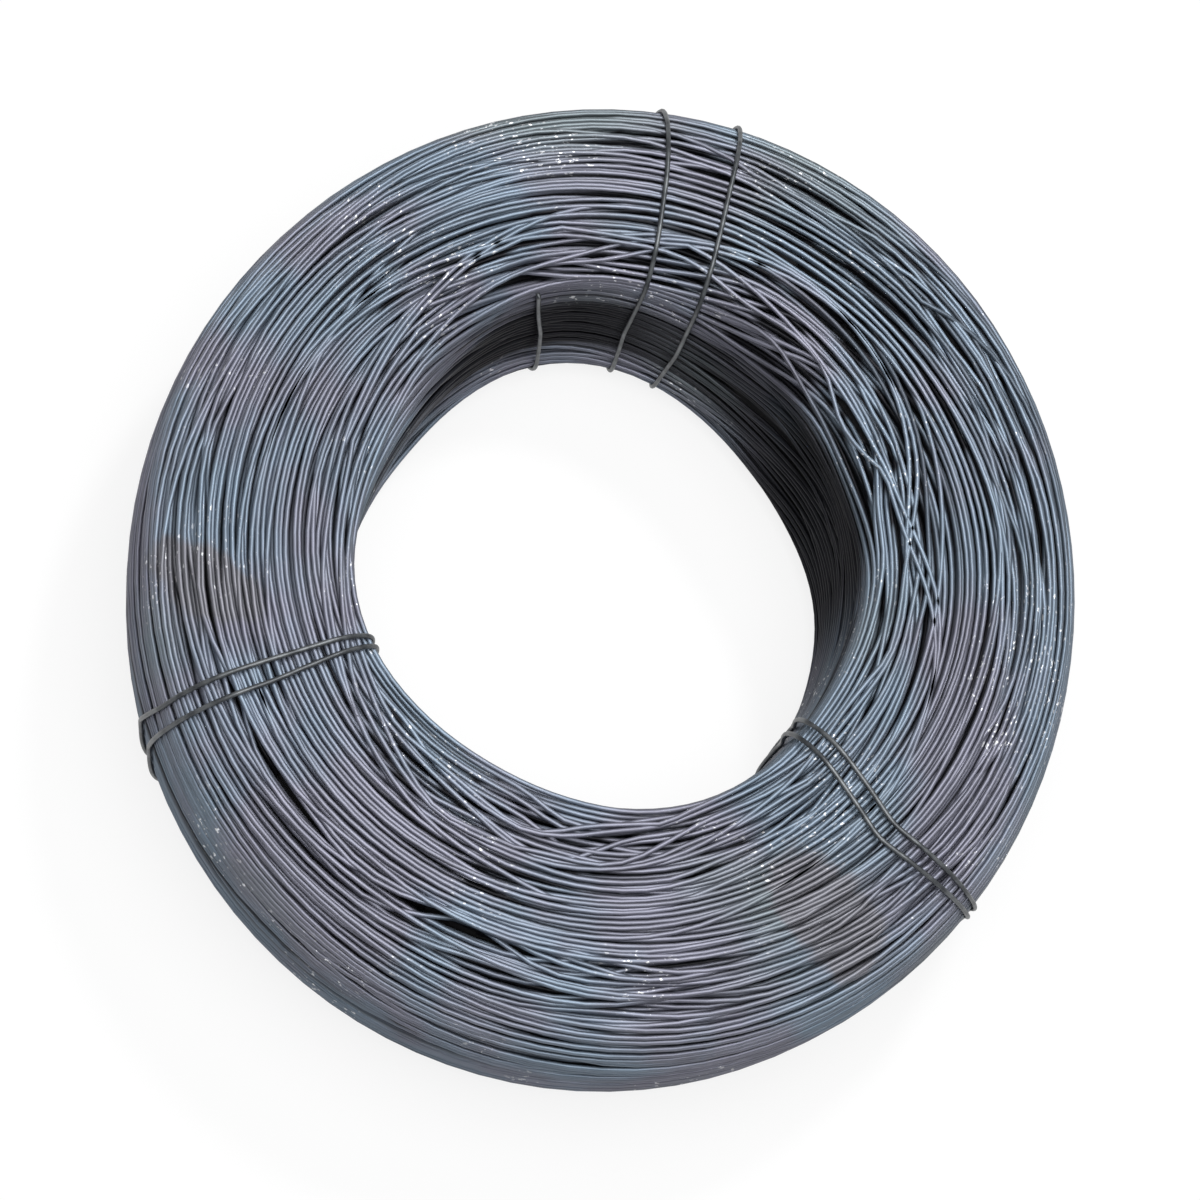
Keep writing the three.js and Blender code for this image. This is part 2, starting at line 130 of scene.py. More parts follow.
@dataclass(frozen=True)
class Hollow:
    """A stretch of the bore's wall that is set back between two heights.

    Args:
        swell: How far it is set back, round the coil.
        low: Where it begins, as a height in metres.
        high: Where it ends.
        edge: Half the height over which it comes in and goes out.
    """

    swell: Swell
    low: float
    high: float
    edge: float = 0.012

    def at(self, theta: Array, height: Array) -> Array:
        """How far the wall is set back at a place.

        Args:
            theta: Angles round the coil.
            height: Heights on the wall.

        Returns:
            The set-back at each of them.
        """
        begins = Fade(self.low - self.edge, self.low + self.edge).at(height)
        ends = Fade(self.high - self.edge, self.high + self.edge).at(height)
        return self.swell.at(theta) * (begins - ends)


@dataclass(frozen=True)
class CoilForm:
    """The outline of the whole coil, seen from above and in section."""

    rim_radius: float = 0.5555
    bore_radius: float = 0.2832
    height: float = 0.325
    settle: float = 0.005  # how much of the section's lower end its weight flattens
    squareness: float = 4.0
    rim_shoulder: float = 2.6  # squareness of the outer upper quarter, which is rounder
    bore_shoulder: float = 7.0  # and of the inner one, which is sharper
    least_reach: float = 0.02  # the section's narrowest half-width, at its very ends
    facets: int = 32  # sides of the turned solid
    lowest: float = 0.002  # where the search for the top surface begins
    roof_step: float = 0.0015  # and how exactly it finds the height
    rim_waves: tuple[Wave, ...] = (Wave(2, 0.0146, 150), Wave(3, 0.0029, 162))
    bore_waves: tuple[Wave, ...] = (
        Wave(1, 0.0166, 168),
        Wave(2, 0.0081, 182),
        Wave(3, 0.0083, -108),
        Wave(4, 0.0067, 27),
    )
    hollows: tuple[Hollow, ...] = (
        Hollow(Swell(98, 30, 0.018), 0.300, 0.40, 0.008),
        Hollow(Swell(105, 45, 0.016), 0.070, 0.40, 0.020),
        Hollow(Swell(-107, 36, 0.068), 0.300, 0.40, 0.008),
        Hollow(Swell(30, 35, 0.012), 0.070, 0.250, 0.020),
    )

    @property
    def middle(self) -> float:
        """Height of the section's middle."""
        return (self.height - self.settle) / 2

    @property
    def half(self) -> float:
        """Half the section's height, before it is flattened."""
        return (self.height + self.settle) / 2

    def rim(self, theta: Array) -> Array:
        """The rim's radius at angles round the coil."""
        return self.rim_radius + sum(wave.at(theta) for wave in self.rim_waves)

    def bore(self, theta: Array) -> Array:
        """The bore's radius at angles round the coil."""
        return self.bore_radius + sum(wave.at(theta) for wave in self.bore_waves)

    def centre(self, box: tuple[Vector, Vector]) -> Pair:
        """Finds the outline's own middle.

        Args:
            box: The least and the greatest corner of the turned solid.

        Returns:
            The middle's place along X and Y.
        """
        edge = np.arange(self.facets) * 2 * math.pi / self.facets
        rim = self.rim(edge)
        across, along = rim * np.cos(edge), rim * np.sin(edge)
        return (
            (box[0][0] + box[1][0] - float(across.max() + across.min())) / 2,
            (box[0][1] + box[1][1] - float(along.max() + along.min())) / 2,
        )

    def _power(self, outer: Array, upper: Array) -> Array:
        """How square each quarter of the section is."""
        shoulder = np.where(outer, self.rim_shoulder, self.bore_shoulder)
        return np.where(upper, shoulder, self.squareness)

    def _rise(self, across: Array, upper: bool) -> Array:
        """Half the section's height across the ring.

        Args:
            across: Places from -1, the bore, to 1, the rim.
            upper: Whether the upper half is asked for.

        Returns:
            The half height at each place.
        """
        power = self._power(across > 0, np.full(across.shape, upper))
        inside = np.clip(1 - np.abs(across) ** power, 0, 1)
        return self.half * inside ** (1 / power)

    def underside(self, across: Array) -> Array:
        """Height of the section's lower outline."""
        return np.maximum(0, self.middle - self._rise(across, False))

    def top(self, across: Array) -> Array:
        """Height of the section's upper outline."""
        return self.middle + self._rise(across, True)

    def reach(self, height: Array, outer: Array) -> Array:
        """How far across the section reaches at a height.

        Args:
            height: Heights in the section.
            outer: Whether the rim's half is asked for, and not the bore's.

        Returns:
            Shares of the ring's half width, up to 1.
        """
        above = height - self.middle
        share = np.clip(np.abs(above) / self.half, 0, 1)
        power = self._power(outer, above > 0)
        return np.clip(1 - share**power, self.least_reach, 1) ** (1 / power)

    def inside(self, theta: Array, height: Array) -> Array:
        """The inner wall's radius.

        Args:
            theta: Angles round the coil.
            height: Heights on the wall.

        Returns:
            The radius at each of them.
        """
        bore, rim = self.bore(theta), self.rim(theta)
        wall = (bore + rim) / 2 - (rim - bore) / 2 * self.reach(height, np.array(False))
        return wall + sum(hollow.at(theta, height) for hollow in self.hollows)

    def outside(self, theta: Array, height: Array) -> Array:
        """The outer wall's radius at angles and heights."""
        bore, rim = self.bore(theta), self.rim(theta)
        return (bore + rim) / 2 + (rim - bore) / 2 * self.reach(height, np.array(True))

    def roof(self, theta: Array, radii: Array) -> Array:
        """The top surface's height.

        Args:
            theta: Angles round the coil, one to a row.
            radii: Radii, one to a column.

        Returns:
            The height at each of them, or 0 outside the ring.
        """
        found = np.zeros((len(theta), len(radii)))
        for height in np.arange(self.lowest, self.height, self.roof_step):
            inner = self.inside(theta, np.array(height))[:, None]
            outer = self.outside(theta, np.array(height))[:, None]
            within = (radii[None, :] >= inner) & (radii[None, :] <= outer)
            found = np.where(within, height, found)
        return found


# ---- Winding the turns --------------------------------------------------------------


def smoothed(values: Array, passes: int) -> Array:
    """Evens out values round a closed turn.

    Args:
        values: The values, with one station after another along the last axis.
        passes: How often each is mixed with its neighbours.

    Returns:
        The evened values.
    """
    for _ in range(passes):
        values = (np.roll(values, 1, -1) + 2 * values + np.roll(values, -1, -1)) / 4
    return values


def farthest(place: Array, reach: Array, cells: int, near: int) -> Array:
    """Finds the farthest reach of any turn near each cell of each station.

    Args:
        place: The cell in which each turn lies at each station.
        reach: How far it reaches there.
        cells: How many cells a station has.
        near: How many cells to either side count as near.

    Returns:
        The reach, one row to a station.
    """
    face = np.full((STATIONS, cells), -NEVER)
    for shift in range(-near, near + 1):
        np.maximum.at(face, (STATION, np.clip(place + shift, 0, cells - 1)), reach)
    return face


@dataclass(frozen=True)
class TurnGroup:
    """Turns that were laid down together.

    Args:
        name: What the group is called in the log.
        until: The share of the coil's height that is filled when the group ends.
        throw: The most that a turn lies off centre, as a share of the ring's width.
        wander: How uneven a path is, as a share of the width.
        runs: The fewest and the most turns that are laid side by side.
        patience: How often no path may be found before the group is done.
        oval: A ripple that all the turns share, as a share of the ring's width.
        edge: Waves that add up to the radius inside which no turn of the group lies.
    """

    name: str
    until: float
    throw: float = 0.30
    wander: float = 0.06
    runs: tuple[int, int] = (4, 18)
    patience: int = 10
    oval: Wave = Wave(2, 0.0, 0.0)
    edge: tuple[Wave, ...] = ()


@dataclass
class Turns:
    """Every turn's radius and height at each station, one row to a turn."""

    radius: Array
    height: Array


@dataclass
class Winder:
    """Lays runs of turns side by side, each where the bed is lowest.

    The bed holds, for each station and radius, the lowest height at which the middle of
    a new rod can lie there.
    """

    form: CoilForm
    groups: tuple[TurnGroup, ...]
    lifts: tuple[Swell, ...] = ()  # where ties run under the coil
    strays: tuple[tuple[Pair, ...], ...] = ()  # bearings and radii of the last turns
    loose: Swell = Swell(25, 62, 1.9)  # the widest gap between turns, in rod diameters
    rod: float = ROD
    margin: Pair = (0.02, 0.03)  # how far the bed goes on in the bore and past the rim
    levels: int = 30  # heights at which the ring's width is measured
    ends: float = 0.01  # height that is left out at both ends of the section
    tries: int = 40  # new paths that are weighed for each run
    room: float = 0.08  # how far off centre even a path at a wall may lie
    bend: float = 3.0  # a path bends freely where it has a third of the width beside it
    recent: int = 100  # latest turns beside which a run may start as well
    lanes: tuple[int, ...] = (-2, -1, 1, 2)  # places beside such a turn
    beside: float = 1.05  # width of such a place, in rod diameters
    least: float = 0.001  # the lowest height at which a wall is looked for
    even: int = 7  # passes that even out a path
    soft: int = 2  # passes that even out the heights at which it rests
    ease: int = 4  # passes that even out the slopes that it feels
    stiffness: float = 1.3  # curvature, in 1/m, to which a turn sags between supports
    borne: int = 6  # stations to either side that a support bears
    feel: int = 4  # cells to either side at which a path feels a slope
    steep: float = 0.002  # the steepest slope that it feels
    slide: float = 0.6  # how far it slides, as a share of the slope
    crest: float = 0.011  # how far a turn may rise above what its group fills
    charge: float = 20.0  # what a metre above that counts for
    climb: float = 0.03  # how much fuller the coil may be under a run's last turn
    against: float = 0.36  # share of the turns that lie against a wall
    play: Pair = (0.003, 0.006)  # how far the others stay off it
    pitch: float = 1.006  # from one turn of a run to the next, in rod diameters
    gappy: float = 0.25  # share of the turns with a wider gap beside them
    gap: Pair = (0.4, 1.0)  # that gap, as a share of the widest one
    fan: float = 0.0002  # how unevenly a run spreads
    tremble: float = 0.00015  # how unevenly each turn follows the one before
    shoulder: float = 0.02  # width beside the walls in which the pile isn't measured
    packing: Pair = (0.7, 1.5)  # least and most that the pile's height changes by
    coarse: int = 8  # cells to a step where the pile is evened out
    level: tuple[int, int] = (30, 3)  # passes that even it out, across and round the ring
    rng: np.random.Generator = field(default_factory=lambda: np.random.default_rng(SEED))

    def __post_init__(self) -> None:
        """Prepares the empty bed."""
        self.rim = self.form.rim(THETA)
        self.bore = self.form.bore(THETA)
        self.low = float(self.bore.min()) - self.margin[0]
        cells = int((float(self.rim.max()) + self.margin[1] - self.low) / CELL)
        self.radii = self.low + np.arange(cells) * CELL
        bore, rim = self.bore[:, None], self.rim[:, None]
        across = 2 * (self.radii[None, :] - bore) / (rim - bore) - 1
        lift = sum(swell.at(THETA) for swell in self.lifts) + 0 * THETA
        self.floor = np.maximum(self.form.underside(np.clip(across, -1, 1)), lift[:, None])
        self.floor += self.rod / 2
        self.bed = self.floor.copy()
        self.swell = self._swelling()
        self.edge = 0 * THETA
        roof = self.form.roof(THETA, self.radii) - self.rod / 2
        self.roof = np.maximum(roof * self.swell[:, None], self.rod)
        cover = int(self.rod / CELL)
        self.near = np.arange(-cover, cover + 1)
        self.hump = np.sqrt(np.maximum(0, self.rod**2 - (self.near * CELL) ** 2))
        self.radius: list[Array] = []
        self.height: list[Array] = []

    def _swelling(self) -> Array:
        """Works out how much higher the loose pile stands where the ring is narrow.

        Returns:
            The pile's height at each station, as a share of the coil's.
        """
        heights = np.linspace(self.ends, self.form.height - self.ends, self.levels)[:, None]
        outside = self.form.outside(THETA[None, :], heights)
        area = (outside - self.form.inside(THETA[None, :], heights)).mean(axis=0)
        return area.mean() / area

    def _cell(self, radius: Array) -> Array:
        """The bed's cell at each station's radius."""
        return np.rint((radius - self.low) / CELL).astype(int)

    def _rest(self, radius: Array) -> Array:
        """Lets a stiff turn come to rest along a path.

        Args:
            radius: The path's radius at each station, or one row for each of many paths.

        Returns:
            The turn's heights.
        """
        raw = self.bed[STATION, self._cell(radius)]
        span = float(radius.mean()) * 2 * math.pi / STATIONS
        height = raw.copy()
        for step in range(1, self.borne + 1):
            sag = self.stiffness / 2 * (step * span) ** 2
            height = np.maximum(height, np.roll(raw, step, -1) - sag)
            height = np.maximum(height, np.roll(raw, -step, -1) - sag)
        return smoothed(height, self.soft)

    def _confine(self, radius: Array, play: float) -> Array:
        """Keeps a path between the bore and the rim at the height where it lies.

        Args:
            radius: The path, or one row for each of many.
            play: How far it stays off both walls.

        Returns:
            The path inside the walls.
        """
        for _ in range(2):
            height = self._rest(radius) / self.swell
            height = np.clip(height, self.least, self.form.height - self.rod / 2)
            inside = self.form.inside(THETA, height) + self.rod / 2 + play
            inside = np.maximum(inside, self.edge)
            outside = self.form.outside(THETA, height) - self.rod / 2 - play
            radius = np.clip(radius, inside, np.maximum(outside, inside))
            radius = smoothed(radius, self.even)
        return radius

    def _nest(self, radius: Array) -> Array:
        """Lets a path slide sideways into the nearest valley of the bed.

        Args:
            radius: The path.

        Returns:
            The path in the valley.
        """
        cells = self._cell(radius)
        slope = self.bed[STATION, cells + self.feel] - self.bed[STATION, cells - self.feel]
        slope = smoothed(np.clip(slope, -self.steep, self.steep), self.ease)
        return radius - slope * self.slide

    def _ripple(self, size: float, orders: tuple[int, ...] = (1, 2, 3, 4)) -> Array:
        """Draws a random departure from a path, long waves being higher than short ones.

        Args:
            size: The height of a wave that has one crest in a turn.
            orders: How many crests each wave has.

        Returns:
            The departure at each station.
        """
        waves = (
            Wave(order, self.rng.normal() * size / order, self.rng.uniform(0, 360))
            for order in orders
        )
        return sum(wave.at(THETA) for wave in waves)

    def _starts(self, group: TurnGroup) -> Array:
        """Draws paths that a new run might take.

        Args:
            group: The group that the run belongs to.

        Returns:
            The paths, one row to a path.
        """
        paths = []
        for share in self.rng.uniform(0, 1, self.tries):
            room = min(share, 1 - share) + self.room
            throw = min(self.rng.uniform(0, group.throw), room)
            toward = self.rng.uniform(-1, 1) * 180
            bend = group.oval.at(THETA) + self._ripple(group.wander, (2, 3, 4))
            bend = bend * min(1, self.bend * room)
            paths.append(share + Wave(1, throw, toward).at(THETA) + bend)
        inner = np.maximum(self.bore, self.edge)
        paths = inner + np.clip(np.array(paths), 0, 1) * (self.rim - inner)
        laid = len(self.radius)
        if laid < self.recent:
            return paths
        number = self.rng.integers(laid - self.recent, laid, self.tries)
        beside = self.rng.choice(self.lanes, (self.tries, 1)) * self.rod * self.beside
        return np.concatenate([paths, np.array(self.radius)[number] + beside])

    def _cost(self, radius: Array, height: Array, until: float) -> Array:
        """Works out how full the coil is along a path, with a charge for crests.

        Args:
            radius: The path, or one row for each of many.
            height: The heights at which a turn rests on it.
            until: The share of the coil that the group fills.

        Returns:
            The share that is full, one value to a path.
        """
        roof = self.roof[STATION, self._cell(radius)]
        over = (height - until * roof).max(axis=-1)
        return (height / roof).mean(axis=-1) + self.charge * np.maximum(0, over - self.crest)

    def _cover(self, radius: Array, height: Array) -> None:
        """Raises the bed over a turn.

        Args:
            radius: The turn's radius at each station.
            height: Its height there.
        """
        cells = self._cell(radius)[:, None] + self.near[None, :]
        raised = height[:, None] + self.hump[None, :]
        rows = STATION[:, None]
        self.bed[rows, cells] = np.maximum(self.bed[rows, cells], raised)

    def _lay(self, radius: Array, height: Array) -> None:
        """Keeps a turn and raises the bed over it.

        Args:
            radius: The turn's radius at each station.
            height: Its height there.
        """
        self._cover(radius, height)
        self.radius.append(radius)
        self.height.append(height)

    def _settle(self, until: float) -> None:
        """Evens out the pile, which packs closer in some places than in others.

        Args:
            until: The share of the coil's height that the pile fills.
        """
        bore, rim = self.bore[:, None], self.rim[:, None]
        middle = (self.radii >= bore + self.shoulder) & (self.radii <= rim - self.shoulder)
        share = np.where(middle, np.clip(until * self.roof / self.bed, *self.packing), 0)
        across, round_it = self.level
        share, known = (
            smoothed(smoothed(values[:, :: self.coarse], across).T, round_it).T
            for values in (share, middle.astype(float))
        )
        share = np.repeat(share / np.maximum(known, 1e-6), self.coarse, axis=1)
        self.bed = self.floor.copy()
        low = self.rod / 2
        for number, (radius, height) in enumerate(zip(self.radius, self.height)):
            height = low + (height - low) * share[STATION, self._cell(radius)]
            self.height[number] = height
            self._cover(radius, height)

    def _off_wall(self) -> float:
        """How far a turn stays off a wall: some lie against it, the others behind."""
        return 0.0 if self.rng.random() < self.against else float(self.rng.uniform(*self.play))

    def _lay_run(self, group: TurnGroup, start: Array) -> int:
        """Lays turns side by side until they climb or meet a wall.

        Args:
            group: The group that the run belongs to.
            start: The first turn's path.

        Returns:
            How many turns were laid.
        """
        way = self.rng.choice((-1, 1))
        fan = self._ripple(self.fan)
        most = int(self.rng.integers(*group.runs))
        radius = start
        for _ in range(2):
            radius = self._confine(self._nest(radius), self._off_wall())
        base = None
        for laid in range(most):
            height = self._rest(radius)
            cost = float(self._cost(radius, height, group.until))
            base = cost if base is None else base
            if laid and (cost > base + self.climb or cost > group.until):
                return laid
            self._lay(radius, height)
            gap = self.rng.uniform(*self.gap) if self.rng.random() < self.gappy else 0.0
            step = way * self.rod * (self.pitch + gap * self.loose.at(THETA))
            ahead = radius + step + fan + self._ripple(self.tremble)
            ahead = self._confine(ahead, self._off_wall())
            if float(np.abs(ahead - radius).mean()) < self.rod / 2:
                return laid + 1
            radius = ahead
        return most

    def _wind_group(self, group: TurnGroup) -> int:
        """Lays one group's runs, each where the coil is least full.

        Args:
            group: The group.

        Returns:
            How many turns were laid.
        """
        laid = misses = 0
        self.edge = sum(wave.at(THETA) for wave in group.edge) + 0 * THETA
        while misses < group.patience:
            paths = self._confine(self._starts(group), 0.0)
            cost = self._cost(paths, self._rest(paths), group.until)
            best = int(cost.argmin())
            if cost[best] > group.until:
                misses += 1
            else:
                laid += self._lay_run(group, paths[best])
        self._settle(group.until)
        return laid

    def wind(self) -> Turns:
        """Lays every group's turns and the strays.

        Returns:
            All the turns, at the heights of the finished coil.
        """
        for group in self.groups:
            log.info("wound %d turns of %s", self._wind_group(group), group.name)
        self.edge = 0 * THETA
        for stray in self.strays:
            bearings = np.radians([bearing for bearing, _ in stray])
            radii = [radius for _, radius in stray]
            radius = smoothed(np.interp(THETA, bearings, radii, period=2 * math.pi), 4)
            self._lay(radius, self._rest(radius))
        low = self.rod / 2
        height = low + (np.array(self.height) - low) / self.swell
        return Turns(np.array(self.radius), height)


@dataclass
class Press:
    """Presses a wound coil until its top and its walls follow the form."""

    form: CoilForm
    cell: float = 0.002
    margin: float = 0.01  # beyond the outermost and inside the innermost turn
    most: float = 0.014  # how far a turn may be pushed
    deep: float = 0.10  # how deep the push is felt
    astray: float = 0.03  # a face farther from its goal than this isn't pushed
    spread: int = 80  # passes that even out the push over neighbouring turns
    sparse: float = 0.02  # least share of known places that a push is worked out from
    spare: float = 0.0002  # kept between a turn and the form's outline
    below: float = 0.002  # how far under the roof the turns lie on average
    behind: float = 0.001  # how far inside the walls they lie on average
    parted: int = 170  # turns nearest to each wall that are kept apart
    apart: float = 0.0054  # least distance between their middles
    even: int = 4  # passes that even out the push round the coil
    walls: int = 5  # passes that even out a turn's path once its walls are pressed
    roofs: int = 3  # and its heights once the top is
    joined: int = 3  # and its path again once it lies clear of the others

    def _spread(self, values: Array) -> Array:
        """Evens out values over the cells of each station, and a little round the coil.

        Args:
            values: The values, one row to a station.

        Returns:
            The evened values.
        """
        for _ in range(self.spread):
            wide = np.pad(values, ((0, 0), (1, 1)))
            values = (wide[:, :-2] + 2 * wide[:, 1:-1] + wide[:, 2:]) / 4
        return smoothed(values.T, self.even).T

    def _press(self, place: Array, reach: Array, goal: Array) -> Array:
        """Moves every turn's reach towards the goal, less so the deeper it lies.

        Args:
            place: The cell in which each turn lies at each station.
            reach: How far it reaches there.
            goal: How far the outermost turns shall reach, one row to a station.

        Returns:
            How far each turn reaches then.
        """
        face = farthest(place, reach, goal.shape[1], 1)
        gap = goal - face
        known = (np.abs(gap) < self.astray).astype(float)
        gap, share = self._spread(np.where(known > 0, gap, 0)), self._spread(known)
        push = np.clip(gap / np.maximum(share, self.sparse), -self.most, self.most)
        depth = face[STATION, place] - reach
        return reach + push[STATION, place] * (1 - Fade(0, self.deep).at(depth))

    def _part(self, reach: Array, height: Array, limit: Array) -> Array:
        """Sets turns at a wall back so far that none lies inside another.

        Args:
            reach: How far each turn reaches towards the wall at each station.
            height: Its height there.
            limit: How far it may reach.

        Returns:
            How far each turn reaches then.
        """
        order = np.argsort(limit - reach, axis=0)[: self.parted]
        level = np.take_along_axis(height, order, axis=0)
        parted = np.minimum(reach, limit)
        place = np.take_along_axis(parted, order, axis=0)
        for turn in range(1, self.parted):
            rise = np.abs(level[:turn] - level[turn])
            back = np.sqrt(np.maximum(self.apart**2 - rise**2, 0))
            free = np.where(rise < self.apart, place[:turn] - back, NEVER).min(axis=0)
            place[turn] = np.minimum(place[turn], free)
        np.put_along_axis(parted, order, place, axis=0)
        return parted

    def press(self, turns: Turns) -> Turns:
        """Presses the top and then both walls.

        Args:
            turns: The turns as they were wound.

        Returns:
            The turns as they lie in the coil.
        """
        form, half = self.form, ROD / 2
        low = float(turns.radius.min()) - self.margin
        radii = np.arange(low, float(turns.radius.max()) + self.margin, self.cell)
        across = np.rint((turns.radius - low) / self.cell).astype(int)
        goal = form.roof(THETA, radii) - half - self.below
        height = self._press(across, turns.height, goal)
        heights = np.arange(0, form.height + 2 * self.margin, self.cell)
        up = np.clip(np.rint(height / self.cell).astype(int), 0, len(heights) - 1)
        level = np.minimum(heights, form.height - half)[None, :]
        outer = form.outside(THETA[:, None], level) - half - self.behind
        inner = form.inside(THETA[:, None], level) + half + self.behind
        radius = self._press(up, turns.radius, outer)
        radius = smoothed(-self._press(up, -radius, -inner), self.walls)
        height = smoothed(height, self.roofs)
        height = np.minimum(height, form.height - half - self.spare)
        outer = form.outside(THETA, height) - half - self.spare
        inner = form.inside(THETA, height) + half
        radius = self._part(radius, height, outer)
        radius = smoothed(-self._part(-radius, height, -inner), self.joined)
        return Turns(np.clip(radius, inner, outer), height)


# ---- Showing the turns --------------------------------------------------------------


def placed(centre: Pair, radius: Array, theta: Array, height: Array) -> Array:
    """Makes points of radii, angles and heights.

    Args:
        centre: The place of the coil's middle.
        radius: Distances from it.
        theta: Angles round it.
        height: Heights over the floor.

    Returns:
        The points, with X, Y and Z along the last axis.
    """
    across = centre[0] + radius * np.cos(theta)
    along = centre[1] + radius * np.sin(theta)
    return np.stack([across, along, height], axis=-1)


def linked(name: str, data: bpy.types.ID) -> bpy.types.Object:
    """Makes an object of a mesh, a lamp or a camera and puts it in the scene.

    Args:
        name: The object's name.
        data: What it shows.

    Returns:
        The new object.
    """
    made = bpy.data.objects.new(name, data)
    bpy.context.scene.collection.objects.link(made)
    return made


@dataclass
class Tubes:
    """Rods as faces, before they are handed to Blender.

    Args:
        verts: The corners' places.
        quads: The corners of each face along the rods, by number.
        caps: The corners of each face at the rods' ends.
        lay: Each corner's length along the rod and its share of the way round it.
    """

    verts: Array
    quads: Array
    caps: Array
    lay: Array


@dataclass
class TurnMesher:
    """Makes tubes of the stretches of turns that can be seen from outside."""

    form: CoilForm
    turns: Turns
    centre: Pair
    sides: int = 6
    rod: float = ROD
    most_faces: int = 190000  # triangles in a piece
    cell: float = 0.001
    near: int = 2  # cells within which one turn hides another
    shown_depth: float = 0.030  # depth under the top down to which turns are made
    under_depth: float = 0.0075  # the same over the underside
    wall_depth: float = 0.014  # and behind both walls
    spare: int = 2  # stations by which each stretch runs on under the next turn
    tones: Pair = (0.0, 0.5)  # the lightest and the darkest tone of a turn
    gap_depth: float = 0.021  # depth under the top at which the painted shade in a gap is darkest
    deeper: Swell = Swell(30, 85, 0.0155)  # where the painted shade in gaps is darker
    wall_gap: float = 0.008  # depth in a wall at which the painted shade in a gap is darkest
    shade: Swell = Swell(18, 48, 1.1)  # where the painted shade on the bore's wall is darkest
    shaded: Fade = Fade(0.27, 0.31)  # heights at which that painted shade ends
    lots_begin: Fade = Fade(0.07, 0.10)  # heights at which set-back lots get painted shade
    lots_end: Fade = Fade(0.20, 0.25)  # and at which they end
    set_back: Fade = Fade(0, 0.014)  # how far back they lie
    bore_side: Fade = Fade(0.05, 0.07)  # how far from the bore a turn isn't in its wall
    shaded_turns: float = 0.38  # share of the turns that get painted shade where they lie in a wall
    turn_shade: Pair = (0.35, 0.85)  # how dark that painted shade is
    buried: Fade = Fade(0.008, 0.024)  # depth under the top from which they do
    striped: Swell = Swell(30, 75, 0.9)  # where they get painted shade on the top as well

    def __post_init__(self) -> None:
        """Works out which stretches show, each turn's tone and its painted shade."""
        radius, height = self.turns.radius, self.turns.height
        self.depths = [
            self._depth(radius, height),
            self._depth(radius, -height),
            self._depth(height, radius),
            self._depth(height, -radius),
        ]
        self.keep = self._shown()
        self.tone = np.random.default_rng(SEED + 1).uniform(*self.tones, len(radius))
        self.painted_shade = self._paint_shade()

    def _depth(self, place: Array, reach: Array) -> Array:
        """Works out how far each turn lies behind the outermost one near it.

        Args:
            place: Where each turn lies at each station.
            reach: How far it reaches there.

        Returns:
            Its depth there.
        """
        cells = np.rint((place - place.min()) / self.cell).astype(int)
        face = farthest(cells, reach, int(cells.max()) + 1, self.near)
        return face[STATION, cells] - reach

    def _shown(self) -> Array:
        """Chooses the stations of each turn that are kept, with their ends tucked under.

        Returns:
            Whether each station of each turn is kept.
        """
        limits = (self.shown_depth, self.under_depth, self.wall_depth, self.wall_depth)
        shares = [depth / limit for depth, limit in zip(self.depths, limits)]
        keep = np.minimum.reduce(shares) < 1
        for _ in range(self.spare):
            keep = keep | np.roll(keep, 1, axis=1) | np.roll(keep, -1, axis=1)
        return keep

    def _paint_shade(self) -> Array:
        """Works out the painted shade of each station: in a gap, on the bore's wall or a
        set-back of it, and on some turns at random.

        Returns:
            The darkness, from 0 to 1, of each station of each turn.
        """
        top, *walls = self.depths
        height = self.turns.height
        # Painted shade, darker the deeper a turn lies in a gap between others.
        gap = np.minimum(
            top / (self.gap_depth - self.deeper.at(THETA)),
            np.minimum.reduce(walls) / self.wall_gap,
        )
        # Painted shade on the bore's wall and on its set-back lots.
        back = self.turns.radius - self.form.bore(THETA) - ROD
        lots = self.lots_begin.at(height) * (1 - self.lots_end.at(height))
        shade = self.shade.at(THETA) * (1 - self.shaded.at(height))
        wall = np.maximum(lots * self.set_back.at(back), shade) * (1 - self.bore_side.at(back))
        # Painted shade on some turns, chosen at random.
        rng = np.random.default_rng(SEED + 2)
        turn_darkness = rng.uniform(*self.turn_shade, (len(top), 1))
        turn_darkness = turn_darkness * (rng.random((len(top), 1)) < self.shaded_turns)
        turn_darkness = turn_darkness * np.maximum(self.buried.at(top), self.striped.at(THETA))
        return np.clip(np.maximum.reduce([gap, wall, turn_darkness]), 0, 1)

    def _tubes(self, radius: Array, height: Array, keep: Array) -> Tubes:
        """Makes tubes of the kept stretches of some turns.

        Args:
            radius: The turns' radii at each station.
            height: Their heights there.
            keep: Whether each station is kept.

        Returns:
            The tubes.
        """
        place = placed(self.centre, radius, THETA, height)
        run = np.roll(place, -1, axis=1) - np.roll(place, 1, axis=1)
        run /= np.linalg.norm(run, axis=-1, keepdims=True)
        aside = np.stack([run[..., 1], -run[..., 0], np.zeros(run.shape[:2])], axis=-1)
        aside /= np.linalg.norm(aside, axis=-1, keepdims=True)
        above = np.cross(aside, run)[:, :, None]
        turn = np.arange(self.sides) * 2 * math.pi / self.sides
        ring = aside[:, :, None] * np.cos(turn)[:, None] + above * np.sin(turn)[:, None]
